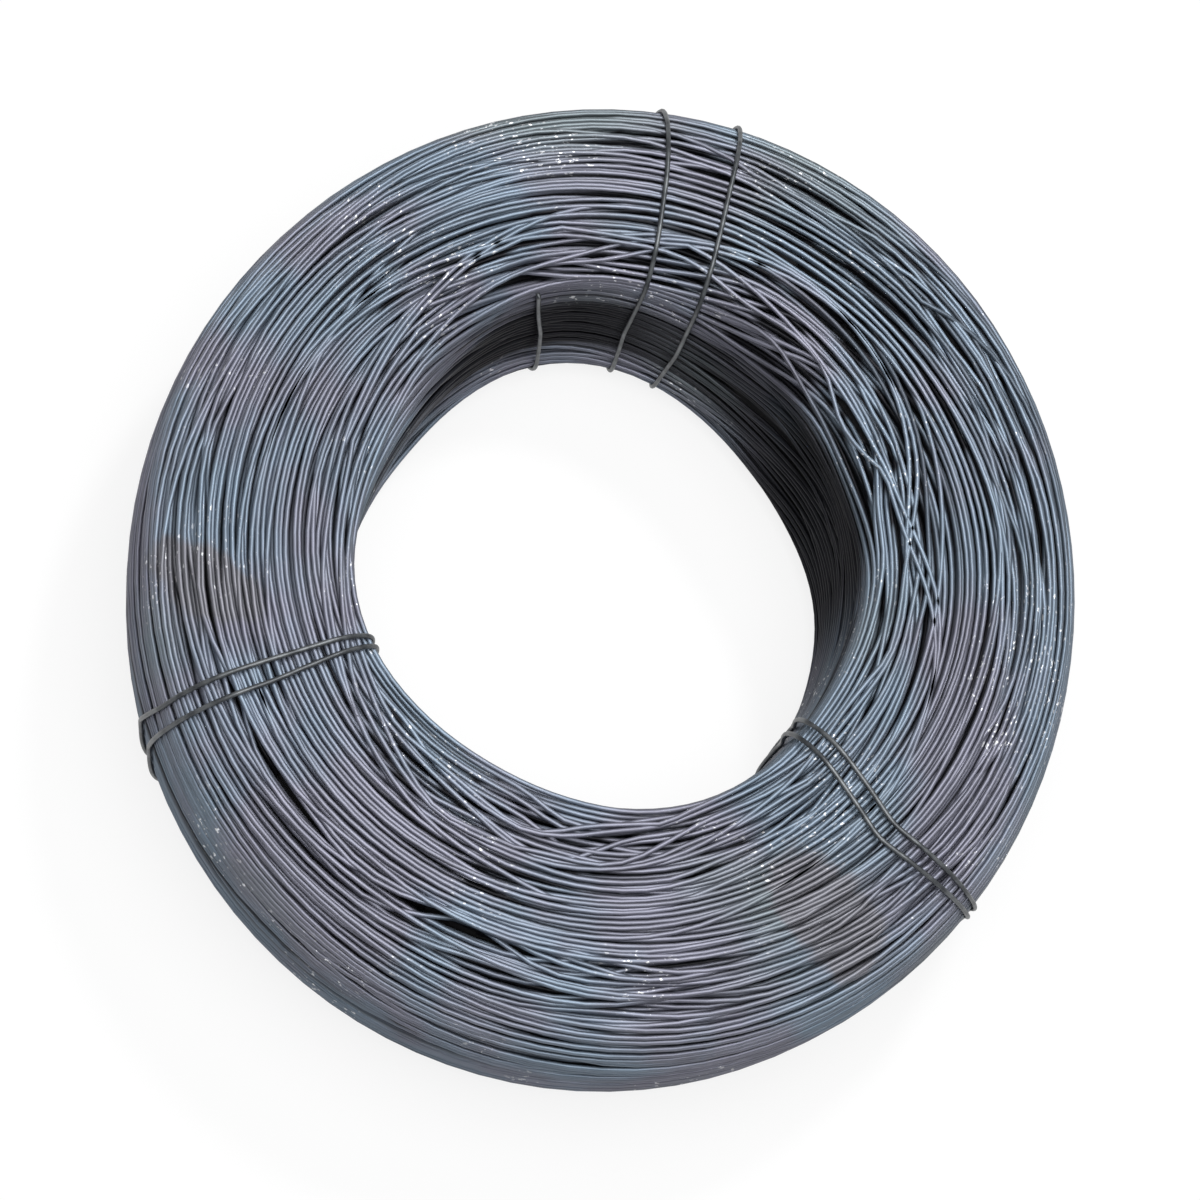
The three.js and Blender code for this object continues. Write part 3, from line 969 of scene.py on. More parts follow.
        # A tube with flat sides is made a little fatter, to cover as much as a round rod.
        fat = self.rod / 2 / math.cos(math.pi / self.sides / 2)
        verts = place[:, :, None] + ring * fat
        index = np.arange(radius.size * self.sides).reshape(*radius.shape, self.sides)
        ahead = np.roll(index, -1, axis=1)
        both = keep & np.roll(keep, -1, axis=1)
        quads = [index, np.roll(index, -1, axis=2), np.roll(ahead, -1, axis=2), ahead]
        starts = index[both & ~np.roll(both, 1, axis=1)]
        ends = ahead[both & ~np.roll(both, -1, axis=1)][:, ::-1]
        along = (THETA * radius.mean(axis=1, keepdims=True))[:, :, None]
        lay = np.broadcast_arrays(along, turn / (2 * math.pi))
        return Tubes(
            verts.reshape(-1, 3),
            np.stack(quads, axis=-1)[both].reshape(-1, 4),
            np.concatenate([starts, ends]),
            np.stack(lay, axis=-1).reshape(-1, 2),
        )

    def _piece(self, name: str, chosen: Array) -> bpy.types.Object:
        """Builds one mesh of the chosen turns.

        Args:
            name: The piece's name.
            chosen: Numbers of the turns.

        Returns:
            The new object.
        """
        turns = self.turns
        tubes = self._tubes(turns.radius[chosen], turns.height[chosen], self.keep[chosen])
        used = np.zeros(len(tubes.verts), bool)
        used[tubes.quads.ravel()] = True
        number = np.cumsum(used) - 1
        quads, caps = number[tubes.quads], number[tubes.caps]
        corners = np.concatenate([quads.ravel(), caps.ravel()])
        sizes = np.concatenate([np.full(len(quads), 4), np.full(len(caps), self.sides)])
        mesh = bpy.data.meshes.new(name)
        mesh.vertices.add(int(used.sum()))
        mesh.vertices.foreach_set("co", tubes.verts[used].ravel())
        mesh.loops.add(len(corners))
        mesh.loops.foreach_set("vertex_index", corners)
        mesh.polygons.add(len(sizes))
        mesh.polygons.foreach_set("loop_start", np.concatenate([[0], np.cumsum(sizes)[:-1]]))
        mesh.polygons.foreach_set("loop_total", sizes)
        mesh.polygons.foreach_set("use_smooth", sizes == 4)
        mesh.update(calc_edges=True)
        mesh.validate()
        # Each turn's random tone and its painted shade go to the finish as attributes.
        tone = np.broadcast_to(self.tone[:, None], self.painted_shade.shape)
        for label, values in (("tone", tone), ("painted_shade", self.painted_shade)):
            layer = mesh.attributes.new(label, "FLOAT", "POINT")
            values = np.repeat(values[chosen].ravel(), self.sides)[used]
            layer.data.foreach_set("value", values)
        lay = mesh.uv_layers.new(name="lay")
        lay.data.foreach_set("uv", tubes.lay[used][corners].ravel())
        return linked(name, mesh)

    def build(self) -> list[bpy.types.Object]:
        """Builds the turns, in as many pieces as their faces need.

        Returns:
            The new objects.
        """
        steps = (self.keep & np.roll(self.keep, -1, axis=1)).sum(axis=1)
        faces = np.cumsum(steps * self.sides * 2)
        pieces = int(faces[-1] / self.most_faces) + 1
        edges = np.searchsorted(faces, np.linspace(0, faces[-1], pieces + 1))
        edges[-1] = len(steps)
        return [
            self._piece(f"turns_{number + 1}", np.arange(edges[number], edges[number + 1]))
            for number in range(pieces)
        ]

    def dress(self, piece: bpy.types.Object, finish: bpy.types.Material) -> None:
        """Gives a piece its finish and its place in the frame.

        Args:
            piece: One of the pieces built.
            finish: The rod's finish.
        """
        piece.data.materials.append(finish)
        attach(piece, "root")
        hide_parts("wire_coil")


@dataclass
class Core:
    """The mass of hidden turns, as one closed ring that follows the bed."""

    form: CoilForm
    turns: Turns
    centre: Pair
    cover: float = 0.010  # how deep it lies under what shows
    thin: float = 0.001  # its least thickness
    columns: int = 22
    cell: float = 0.002
    near: int = 4  # cells within which it stays under the lowest gap
    margin: float = 0.03  # beyond the turns
    levels: tuple[float, ...] = (0.1, 0.2, 0.3)  # where the bore's set-backs are felt
    tip: float = 0.999  # the place across the section at which it ends

    def _under(self, radius: Array) -> Array:
        """Finds the lowest gap near each place, so that the core shows through none.

        Args:
            radius: The core's radii, one row to a station.

        Returns:
            The height of the gap near each of them.
        """
        low = float(self.turns.radius.min()) - self.margin
        across = np.rint((self.turns.radius - low) / self.cell).astype(int)
        cells = int(across.max()) + 2 * self.near
        top = np.maximum(farthest(across, self.turns.height, cells, 1), 0)
        place = np.rint((radius - low) / self.cell).astype(int)
        found = np.full(radius.shape, NEVER)
        for turn in (-1, 0, 1):
            rows = (STATION[:, None] + turn) % STATIONS
            for step in range(-self.near, self.near + 1):
                found = np.minimum(found, top[rows, place + step])
        return found

    def build(self) -> bpy.types.Object:
        """Builds the ring.

        Returns:
            The new object.
        """
        bore, rim = self.form.bore(THETA), self.form.rim(THETA)
        walls = [self.form.inside(THETA, np.array(level)) for level in self.levels]
        inner = bore + np.max([wall - bore for wall in walls], axis=0) + self.cover
        outer = rim - self.cover
        share = np.linspace(0, 1, self.columns)[None, :]
        radius = inner[:, None] + share * (outer - inner)[:, None]
        across = 2 * (radius - bore[:, None]) / (rim - bore)[:, None] - 1
        across = np.clip(across, -self.tip, self.tip)
        under = self.form.underside(across) + self.cover
        above = np.minimum(self._under(radius) - ROD / 2, self.form.top(across)) - self.cover
        above = np.maximum(above, under + self.thin)
        loop_radius = np.concatenate([radius, radius[:, ::-1]], axis=1)
        loop_height = np.concatenate([above, under[:, ::-1]], axis=1)
        place = placed(self.centre, loop_radius, THETA[:, None], loop_height)
        index = np.arange(loop_radius.size).reshape(loop_radius.shape)
        ahead = np.roll(index, -1, axis=0)
        quads = [index, ahead, np.roll(ahead, -1, axis=1), np.roll(index, -1, axis=1)]
        quads = np.stack(quads, axis=-1).reshape(-1, 4)
        mesh = bpy.data.meshes.new("hidden_turns")
        mesh.from_pydata(place.reshape(-1, 3).tolist(), [], quads.tolist())
        mesh.update()
        return linked("hidden_turns", mesh)

    def dress(self, core: bpy.types.Object, finish: bpy.types.Material) -> None:
        """Gives the core its finish and its place in the frame.

        Args:
            core: The ring.
            finish: Its near-black painted shade, which shows through gaps.
        """
        core.data.materials.append(finish)
        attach(core, "root")
        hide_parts("wire_coil")


# ---- Tie wires ----------------------------------------------------------------------


@dataclass
class Drape:
    """The smallest loop round the coil's section that clears every turn.

    The loop is drawn in from all sides, so it bridges hollows as a taut wire does.
    """

    form: CoilForm
    turns: Turns
    rod: float = ROD
    facets: int = 120
    grazing: float = 0.05  # a side seen flatter than this doesn't bound the loop

    def section(self, bearing: float) -> list[Array]:
        """Cuts through every turn.

        Args:
            bearing: Where the cut is, in radians.

        Returns:
            The turns' radii there, and their heights.
        """
        place = bearing / (2 * math.pi) * STATIONS
        step = int(math.floor(place))
        share = place - step
        behind, ahead = step % STATIONS, (step + 1) % STATIONS
        return [
            (1 - share) * values[:, behind] + share * values[:, ahead]
            for values in (self.turns.radius, self.turns.height)
        ]

    def at(self, bearing: float, angle: float, below: float = 1.0) -> Pair:
        """Where the loop lies, seen from the section's middle.

        Args:
            bearing: Place round the coil, in radians.
            angle: Direction in the section, in radians up from outwards.
            below: The height above which turns aren't bound by the loop.

        Returns:
            Radius and height of the tie wire's middle.
        """
        radius, height = self.section(bearing)
        theta = np.array([bearing])
        mid_radius = float((self.form.rim(theta) + self.form.bore(theta))[0]) / 2
        mid_height = self.form.middle
        facing = np.arange(self.facets) * 2 * math.pi / self.facets
        bound = height < below
        away = np.stack([radius[bound] - mid_radius, height[bound] - mid_height], axis=-1)
        normals = np.stack([np.cos(facing), np.sin(facing)])
        support = (away @ normals).max(axis=0) + self.rod
        towards = np.cos(facing - angle)
        ahead = towards > self.grazing
        reach = float((support[ahead] / towards[ahead]).min())
        return mid_radius + reach * math.cos(angle), mid_height + reach * math.sin(angle)


@dataclass(frozen=True)
class Slack:
    """A stretch of a tie that stands off from the coil.

    Args:
        angle: The middle of the stretch, in degrees round the section.
        reach: Half its width, in degrees.
        height: How far it stands off, in metres.
    """

    angle: float
    reach: float
    height: float

    def at(self, angle: float) -> float:
        """How far the tie stands off at an angle in degrees."""
        return self.height * math.exp(-(((angle - self.angle) / self.reach) ** 2))


class KnotPlace(Enum):
    """The angle round the section at which a tie is twisted shut, in degrees."""

    RIM = 324
    BORE = 216


@dataclass
class TieWire:
    """One tie wire, drawn tight round the section and twisted shut on a wall.

    Args:
        node: The CAD node that it replaces.
        stations: Pairs of degrees, its angle round the section, upwards from outwards,
            and its bearing there.
        knot: The wall on which it is twisted shut.
        knot_way: 1 or -1, the way in which the knot points along the turns.
        slack: Where it stands off.
    """

    node: str
    stations: tuple[Pair, ...]
    knot: KnotPlace = KnotPlace.RIM
    knot_way: int = 1
    slack: tuple[Slack, ...] = ()
    diameter: float = ROD
    steps: int = 150
    sides: int = 10
    opening: float = 5.0  # degrees round the section left free on each side of the knot
    lead: float = 0.012  # from the loop to the twist
    pitch: float = 0.034  # length of one twist
    twist_turns: float = 1.5
    twist_steps: int = 24
    twist_gap: float = 0.0004
    spread: float = 0.003  # how much farther apart the two ends are at the loop
    tail: float = 0.009
    floor_clearance: float = 0.0006
    ceiling: float = 0.3312
    even: int = 3  # passes that even out the loop
    merge: float = 0.00002
    crease: float = 50.0  # degrees from which an edge is sharp

    @property
    def outward(self) -> int:
        """1 where the knot lies on the rim, -1 where it lies in the bore."""
        return 1 if self.knot is KnotPlace.RIM else -1

    def bearing(self, angle: float) -> float:
        """Finds the wire's bearing.

        Args:
            angle: The angle round the section, in degrees.

        Returns:
            The bearing there, in radians.
        """
        angles = [station[0] for station in self.stations]
        bearings = [station[1] for station in self.stations]
        return math.radians(float(np.interp(angle % 360, angles, bearings, period=360)))

    def _place(self, bearing: float, radius: float, height: float) -> Vector:
        """Makes a place in the coil, clear of the floor and under the coil's top.

        Args:
            bearing: Its bearing, in radians.
            radius: Its distance from the coil's middle.
            height: Its height, before it is kept clear.

        Returns:
            The place, as seen from the coil's middle.
        """
        low = self.diameter / 2 + self.floor_clearance
        high = self.ceiling - self.diameter / 2
        height = min(max(height, low), high)
        return Vector((radius * math.cos(bearing), radius * math.sin(bearing), height))

    def _drawn(self, drape: Drape, start: float, sweep: float, below: float = 1.0) -> Array:
        """Draws a stretch of the wire over the section and evens it out.

        Args:
            drape: The loop round the section.
            start: The angle at which the stretch begins, in degrees.
            sweep: How far round it goes, in degrees.
            below: The height above which turns aren't bound by it.

        Returns:
            Bearing, radius and height of each of its places.
        """
        places = []
        for step in range(self.steps + 1):
            angle = start + sweep * step / self.steps
            bearing = self.bearing(angle)
            radius, height = drape.at(bearing, math.radians(angle), below)
            off = sum(slack.at(angle % 360) for slack in self.slack)
            radius += off * math.cos(math.radians(angle))
            height += off * math.sin(math.radians(angle))
            places.append((bearing, radius, height))
        table = np.array(places)
        for _ in range(self.even):
            table[1:-1] = (table[:-2] + 2 * table[1:-1] + table[2:]) / 4
        return table

    def _beside(self, drape: Drape, along: float, off: float, rise: float) -> Vector:
        """Finds a place in the knot.

        Args:
            drape: The loop round the section.
            along: How far it is along the turns, from the loop.
            off: How far it stands off from where the loop would lie.
            rise: How far it lies above the knot's middle.

        Returns:
            The place.
        """
        angle = math.radians(self.knot.value)
        bearing = self.bearing(self.knot.value)
        base_radius, _ = drape.at(bearing, angle)
        bearing += self.knot_way * along / base_radius
        radius, height = drape.at(bearing, angle)
        return self._place(bearing, radius + self.outward * off, height + rise)

    def _end(self, drape: Drape, side: int) -> list[Vector]:
        """One end of the wire in the knot, from its tip to the loop.

        Args:
            drape: The loop round the section.
            side: 1 for the end from above, -1 for the one from below.

        Returns:
            The end's places.
        """
        offset = (self.diameter + self.twist_gap) / 2
        length = self.twist_turns * self.pitch
        strand = [(self.lead + length + self.tail, self.twist_turns)]
        for step in range(self.twist_steps, -1, -1):
            turned = self.twist_turns * step / self.twist_steps
            strand.append((self.lead + turned * self.pitch, turned))
        places = []
        for along, turned in strand:
            swing = 2 * math.pi * turned
            off = offset + side * offset * math.sin(swing)
            places.append(self._beside(drape, along, off, side * offset * math.cos(swing)))
        rise = side * (offset + self.spread)
        return [*places, self._beside(drape, self.lead / 3, 0.0, rise)]

    def route(self, drape: Drape) -> list[Vector]:
        """Lays out the whole wire, from one free end to the other.

        Args:
            drape: The loop round the section.

        Returns:
            The wire's places.
        """
        start = self.knot.value + self.outward * self.opening
        loop = self._drawn(drape, start, self.outward * (360 - 2 * self.opening))
        over = [self._place(*row) for row in loop]
        return [*self._end(drape, 1), *over, *reversed(self._end(drape, -1))]

    def build(self, drape: Drape, centre: Pair) -> bpy.types.Object:
        """Draws the wire as a path, thickens it and makes it a mesh.

        Args:
            drape: The loop round the section.
            centre: The coil's middle.

        Returns:
            The new object.
        """
        places = self.route(drape)
        bpy.ops.object.select_all(action="DESELECT")
        bpy.ops.curve.primitive_nurbs_path_add(location=(0, 0, 0))
        wire = bpy.context.object
        wire.name = wire.data.name = f"{self.node}_wire"
        path = wire.data
        path.splines.clear()
        spline = path.splines.new("NURBS")
        spline.points.add(len(places) - 1)
        for point, place in zip(spline.points, places):
            point.co = (place.x + centre[0], place.y + centre[1], place.z, 1)
        spline.order_u = 3
        spline.use_endpoint_u = True
        spline.resolution_u = 2
        path.bevel_depth = self.diameter / 2
        path.bevel_resolution = self.sides // 2 - 2
        path.use_fill_caps = True
        path.twist_mode = "MINIMUM"
        bpy.ops.object.convert(target="MESH")
        wire = bpy.context.object
        bpy.ops.object.mode_set(mode="EDIT")
        bpy.ops.mesh.select_all(action="SELECT")
        bpy.ops.mesh.remove_doubles(threshold=self.merge)
        bpy.ops.mesh.normals_make_consistent(inside=False)
        bpy.ops.object.mode_set(mode="OBJECT")
        bpy.ops.object.shade_smooth_by_angle(angle=math.radians(self.crease))
        bpy.ops.object.select_all(action="DESELECT")
        return wire

    def dress(self, wire: bpy.types.Object, finish: bpy.types.Material) -> None:
        """Gives the wire its finish and its place in the frame.

        Args:
            wire: The wire that was built.
            finish: The tie wires' finish.
        """
        wire.data.materials.clear()
        wire.data.materials.append(finish)
        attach(wire, "root")
        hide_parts(self.node)


@dataclass
class OpenTie(TieWire):
    """A tie that binds only the lower turns, with its ends tucked in between them.

    Args:
        ends: The angles round the section at which it tucks in, in degrees.
        below: The height above which turns aren't bound by it.
        tuck: How deep its ends go in.
    """

    ends: Pair = (29.0, 135.0)
    below: float = 0.29
    tuck: float = 0.016

    def route(self, drape: Drape) -> list[Vector]:
        """Lays out the wire, from the outer wall round under the coil to the bore.

        Args:
            drape: The loop round the section.

        Returns:
            The wire's places.
        """
        first, last = self.ends[0], self.ends[1] - 360
        table = self._drawn(drape, first, last - first, self.below)
        tips = [
            self._place(bearing, radius + way * self.tuck, height - self.diameter)
            for way, (bearing, radius, height) in ((-1, table[0]), (1, table[-1]))
        ]
        return [tips[0], *(self._place(*row) for row in table), tips[1]]


# ---- Finishes -----------------------------------------------------------------------


class Nodes:
    """A small helper that builds a material's node tree."""

    def __init__(self, name: str) -> None:
        """Starts a material with an empty tree.

        Args:
            name: The material's name.
        """
        self.material = bpy.data.materials.new(name)
        self.material.use_nodes = True
        self.tree = self.material.node_tree
        self.tree.nodes.clear()

    def add(self, kind: str, **settings: object) -> bpy.types.Node:
        """Adds a node.

        Args:
            kind: The node's type.
            **settings: Properties to set on it.

        Returns:
            The node.
        """
        node = self.tree.nodes.new(kind)
        for key, value in settings.items():
            setattr(node, key, value)
        return node

    def feed(self, value: object, socket: Socket) -> None:
        """Joins a socket to another one, or sets it.

        Args:
            value: The other socket, or a number, a vector or a colour.
            socket: The socket that takes it.
        """
        if isinstance(value, bpy.types.NodeSocket):
            self.tree.links.new(value, socket)
        else:
            socket.default_value = value

    def work(self, kind: str, *values: object, **settings: object) -> Socket:
        """Adds a node and feeds its inputs in their order.

        Args:
            kind: The node's type.
            *values: What each input takes.
            **settings: Properties to set on the node.

        Returns:
            The node's first output.
        """
        node = self.add(kind, **settings)
        for value, socket in zip(values, node.inputs):
            self.feed(value, socket)
        return node.outputs[0]

    def number(self, operation: str, *values: object) -> Socket:
        """Works out a number from others."""
        return self.work("ShaderNodeMath", *values, operation=operation)

    def ramp(self, value: Socket, low: float, high: float) -> Socket:
        """Stretches a value so that low becomes 0 and high becomes 1.

        Args:
            value: The value.
            low: What becomes 0.
            high: What becomes 1.

        Returns:
            The stretched value.
        """
        node = self.add("ShaderNodeMapRange", interpolation_type="SMOOTHSTEP")
        for name, given in (("Value", value), ("From Min", low), ("From Max", high)):
            self.feed(given, node.inputs[name])
        return node.outputs["Result"]

    def mix(self, factor: Socket, first: object, second: object, blend: str = "MIX") -> Socket:
        """Mixes two colours.

        Args:
            factor: How much of the second there is.
            first: A socket or four numbers.
            second: The same.
            blend: How the second is laid over the first.

        Returns:
            The mixed colour.
        """
        node = self.add("ShaderNodeMix", data_type="RGBA", blend_type=blend)
        self.feed(factor, node.inputs["Factor"])
        colours = {socket.name: socket for socket in node.inputs if socket.type == "RGBA"}
        self.feed(first, colours["A"])
        self.feed(second, colours["B"])
        return next(socket for socket in node.outputs if socket.type == "RGBA")

    def surface(self, shader: Socket) -> bpy.types.Material:
        """Makes a shader the material's surface.

        Args:
            shader: The shader.

        Returns:
            The finished material.
        """
        self.feed(shader, self.add("ShaderNodeOutputMaterial").inputs["Surface"])
        return self.material

    def metal(self, colour: object, metallic: float, roughness: float) -> bpy.types.Material:
        """Makes the surface of one colour, a socket or four numbers.

        Args:
            colour: The colour.
            metallic: How much of a metal it is.
            roughness: How rough it is.

        Returns:
            The finished material.
        """
        shader = self.add("ShaderNodeBsdfPrincipled")
        self.feed(colour, shader.inputs["Base Color"])
        shader.inputs["Metallic"].default_value = metallic
        shader.inputs["Roughness"].default_value = roughness
        return self.surface(shader.outputs["BSDF"])


@dataclass(frozen=True)
class Mottle:
    """A soft irregular pattern.

    Args:
        scale: How fine it is.
        detail: How many finer layers it has.
        low: The value of the noise at which the pattern begins.
        high: The value at which it is full.
    """

    scale: float
    detail: float
    low: float = 0.0
    high: float = 1.0

    def noise(self, nodes: Nodes, place: Socket) -> Socket:
        """The noise that the pattern is made of.

        Args:
            nodes: The material's nodes.
            place: Where the noise is read.

        Returns:
            Its value, around a half.
        """
        node = nodes.add("ShaderNodeTexNoise")
        for name, value in (("Vector", place), ("Scale", self.scale), ("Detail", self.detail)):
            nodes.feed(value, node.inputs[name])
        return node.outputs["Fac"]

    def mask(self, nodes: Nodes, place: Socket) -> Socket:
        """The pattern's strength, from 0 to 1."""
        return nodes.ramp(self.noise(nodes, place), self.low, self.high)


@dataclass(frozen=True)
class Patch:
    """A soft-edged patch of another colour, seen from above.

    Args:
        place: Its middle, in metres.
        size: Half its length and half its width, in metres.
        bearing: The way that its length runs, in degrees.
        ragged: What makes its edge uneven.
        unevenness: How much it does so, as a share of the patch's size.
        edge: How far out the patch ends and how far out it is full, with the noise.
        tall: Its height, which takes in the whole coil.
    """

    place: Pair
    size: Pair
    bearing: float
    ragged: Mottle = Mottle(22.0, 4.0)
    unevenness: float = 0.9
    edge: Pair = (1.55, 1.25)
    tall: float = 1000.0

    def mask(self, nodes: Nodes, place: Socket) -> Socket:
        """Makes a mask that is 1 inside the patch and fades to 0 round it.

        Args:
            nodes: The material's nodes.
            place: The place on the object.

        Returns:
            The mask.
        """
        turned = (0, 0, math.radians(self.bearing))
        local = nodes.work(
            "ShaderNodeMapping", place, (*self.place, 0), turned, (*self.size, self.tall),
            vector_type="TEXTURE",
        )
        length = nodes.add("ShaderNodeVectorMath", operation="LENGTH")
        nodes.feed(local, length.inputs[0])
        noise = self.ragged.noise(nodes, place)
        away = nodes.number("MULTIPLY_ADD", noise, self.unevenness, length.outputs["Value"])
        return nodes.ramp(away, *self.edge)


@dataclass(frozen=True)
class MillScale:
    """Hot-rolled steel with its scale, tints and stains, painted shade in gaps and on the
    bore's wall, and flecks that are partly bare steel and partly painted glints.
    """

    name: str = "mill_scale"
    metallic: float = 0.6
    roughness: float = 0.5
    blue_grey: Colour = (0.157, 0.200, 0.252, 1)
    purple_grey: Colour = (0.172, 0.174, 0.218, 1)
    green_grey: Colour = (0.150, 0.178, 0.192, 1)
    dark: Colour = (0.088, 0.092, 0.108, 1)
    stain: Colour = (0.150, 0.152, 0.172, 1)
    # The flecks' white: partly bare steel, partly painted glint.
    glint_white: Colour = (0.75, 0.76, 0.78, 1)
    lighter: Colour = (1.25, 1.25, 1.25, 1)
    # The black of the painted shade in gaps and on the bore's wall.
    shade_black: Colour = (0.012, 0.012, 0.016, 1)
    purple: Mottle = Mottle(5.0, 3.0, 0.40, 0.60)
    green: Mottle = Mottle(3.1, 2.0, 0.55, 0.75)
    flecked: Mottle = Mottle(7.0, 2.0, 0.50, 0.64)  # stretches that have flecks of bare steel and painted glints
    fleck: Mottle = Mottle(1.0, 3.0, 0.63, 0.675)
    worn: Mottle = Mottle(0.15, 2.0, 0.30, 0.75)
    stretch: tuple[float, float, float] = (140, 4, 1)  # flecks to a metre, round and apart
    parting: tuple[float, float, float] = (0, 0, 400)  # between the flecks of two turns
    toned: Pair = (0.0, 1.6)
    shade_ramp: Pair = (0.25, 1.0)  # how deep the painted shade is where it turns black
    stains: tuple[Patch, ...] = (
        Patch((-0.46, -0.06), (0.075, 0.035), -38),
        Patch((0.20, -0.41), (0.085, 0.05), -48),
    )
    rubbed_and_glinting: Patch = Patch((0.44, -0.13), (0.07, 0.13), -12)  # many flecks, partly bare steel and partly painted glints

    def build(self) -> bpy.types.Material:
        """Builds the material.

        Returns:
            The new material.
        """
        nodes = Nodes(self.name)
        place = nodes.add("ShaderNodeTexCoord").outputs["Object"]
        lay = nodes.add("ShaderNodeUVMap", uv_map="lay").outputs["UV"]
        tone, painted_shade = (
            nodes.add("ShaderNodeAttribute", attribute_name=label).outputs["Fac"]
            for label in ("tone", "painted_shade")
        )
        colour = nodes.mix(self.purple.mask(nodes, place), self.blue_grey, self.purple_grey)
        colour = nodes.mix(self.green.mask(nodes, place), colour, self.green_grey)
        colour = nodes.mix(nodes.ramp(tone, *self.toned), colour, self.dark)
        for patch in self.stains:
            colour = nodes.mix(patch.mask(nodes, place), colour, self.stain)
        along = nodes.work("ShaderNodeMapping", lay, (0, 0, 0), (0, 0, 0), self.stretch)
        aside = nodes.work("ShaderNodeCombineXYZ", 0, 0, tone)
        strand = nodes.work(
            "ShaderNodeVectorMath", aside, self.parting, along, operation="MULTIPLY_ADD"
        )
        # Flecks along the strands, partly bare steel where the scale is off, partly painted
        # glints.
        flecked, rubbed_and_glinting = self.flecked.mask(nodes, place), self.rubbed_and_glinting.mask(nodes, place)
        where = nodes.number("MAXIMUM", flecked, rubbed_and_glinting)
        glint = nodes.number("MULTIPLY", self.fleck.mask(nodes, strand), where)
        colour = nodes.mix(glint, colour, self.glint_white)
        colour = nodes.mix(self.worn.mask(nodes, strand), colour, self.lighter, "MULTIPLY")
        # Painted shade: black in deep gaps, on the shaded bore wall and on some turns.
        colour = nodes.mix(nodes.ramp(painted_shade, *self.shade_ramp), colour, self.shade_black)
        return nodes.metal(colour, self.metallic, self.roughness)


@dataclass(frozen=True)
class TieSteel:
    """Dull dark steel of the tie wires."""

    name: str = "tie_steel"
    metallic: float = 0.5
    roughness: float = 0.42
    dark: Colour = (0.055, 0.06, 0.066, 1)
    pale: Colour = (0.14, 0.15, 0.158, 1)
    cloudy: Mottle = Mottle(60.0, 4.0, 0.35, 0.7)

    def build(self) -> bpy.types.Material:
        """Builds the material.

        Returns:
            The new material.
        """
        nodes = Nodes(self.name)
        place = nodes.add("ShaderNodeTexCoord").outputs["Object"]
        colour = nodes.mix(self.cloudy.mask(nodes, place), self.dark, self.pale)
        return nodes.metal(colour, self.metallic, self.roughness)


@dataclass(frozen=True)
class DeepShadow:
    """The inside of the coil, painted near black as shade, seen only through gaps between
    turns.
    """

    name: str = "inner_turns_shade"
    roughness: float = 0.9
    # Near black: painted shade of the turns that lie inside.
    colour: Colour = (0.012, 0.012, 0.014, 1)

    def build(self) -> bpy.types.Material:
        """Builds the material."""
        return Nodes(self.name).metal(self.colour, 0.0, self.roughness)


# ---- Studio -------------------------------------------------------------------------


@dataclass(frozen=True)
class Lamp:
    """A round lamp that faces the coil.

    Args:
        name: What it is called.
        place: Where it hangs, in metres.
        size: Its diameter, in metres.
        power: Its power, in watts.
    """

    name: str
    place: tuple[float, float, float]
    size: float
    power: float

    def build(self, aim: Vector) -> None:
        """Adds the lamp.

        Args:
            aim: The place that it faces.
        """
        data = bpy.data.lights.new(self.name, "AREA")
        data.shape = "DISK"
        data.size = self.size
        data.energy = self.power
        light = linked(self.name, data)
        light.location = self.place
        light.rotation_euler = (Vector(self.place) - aim).to_track_quat("Z", "Y").to_euler()


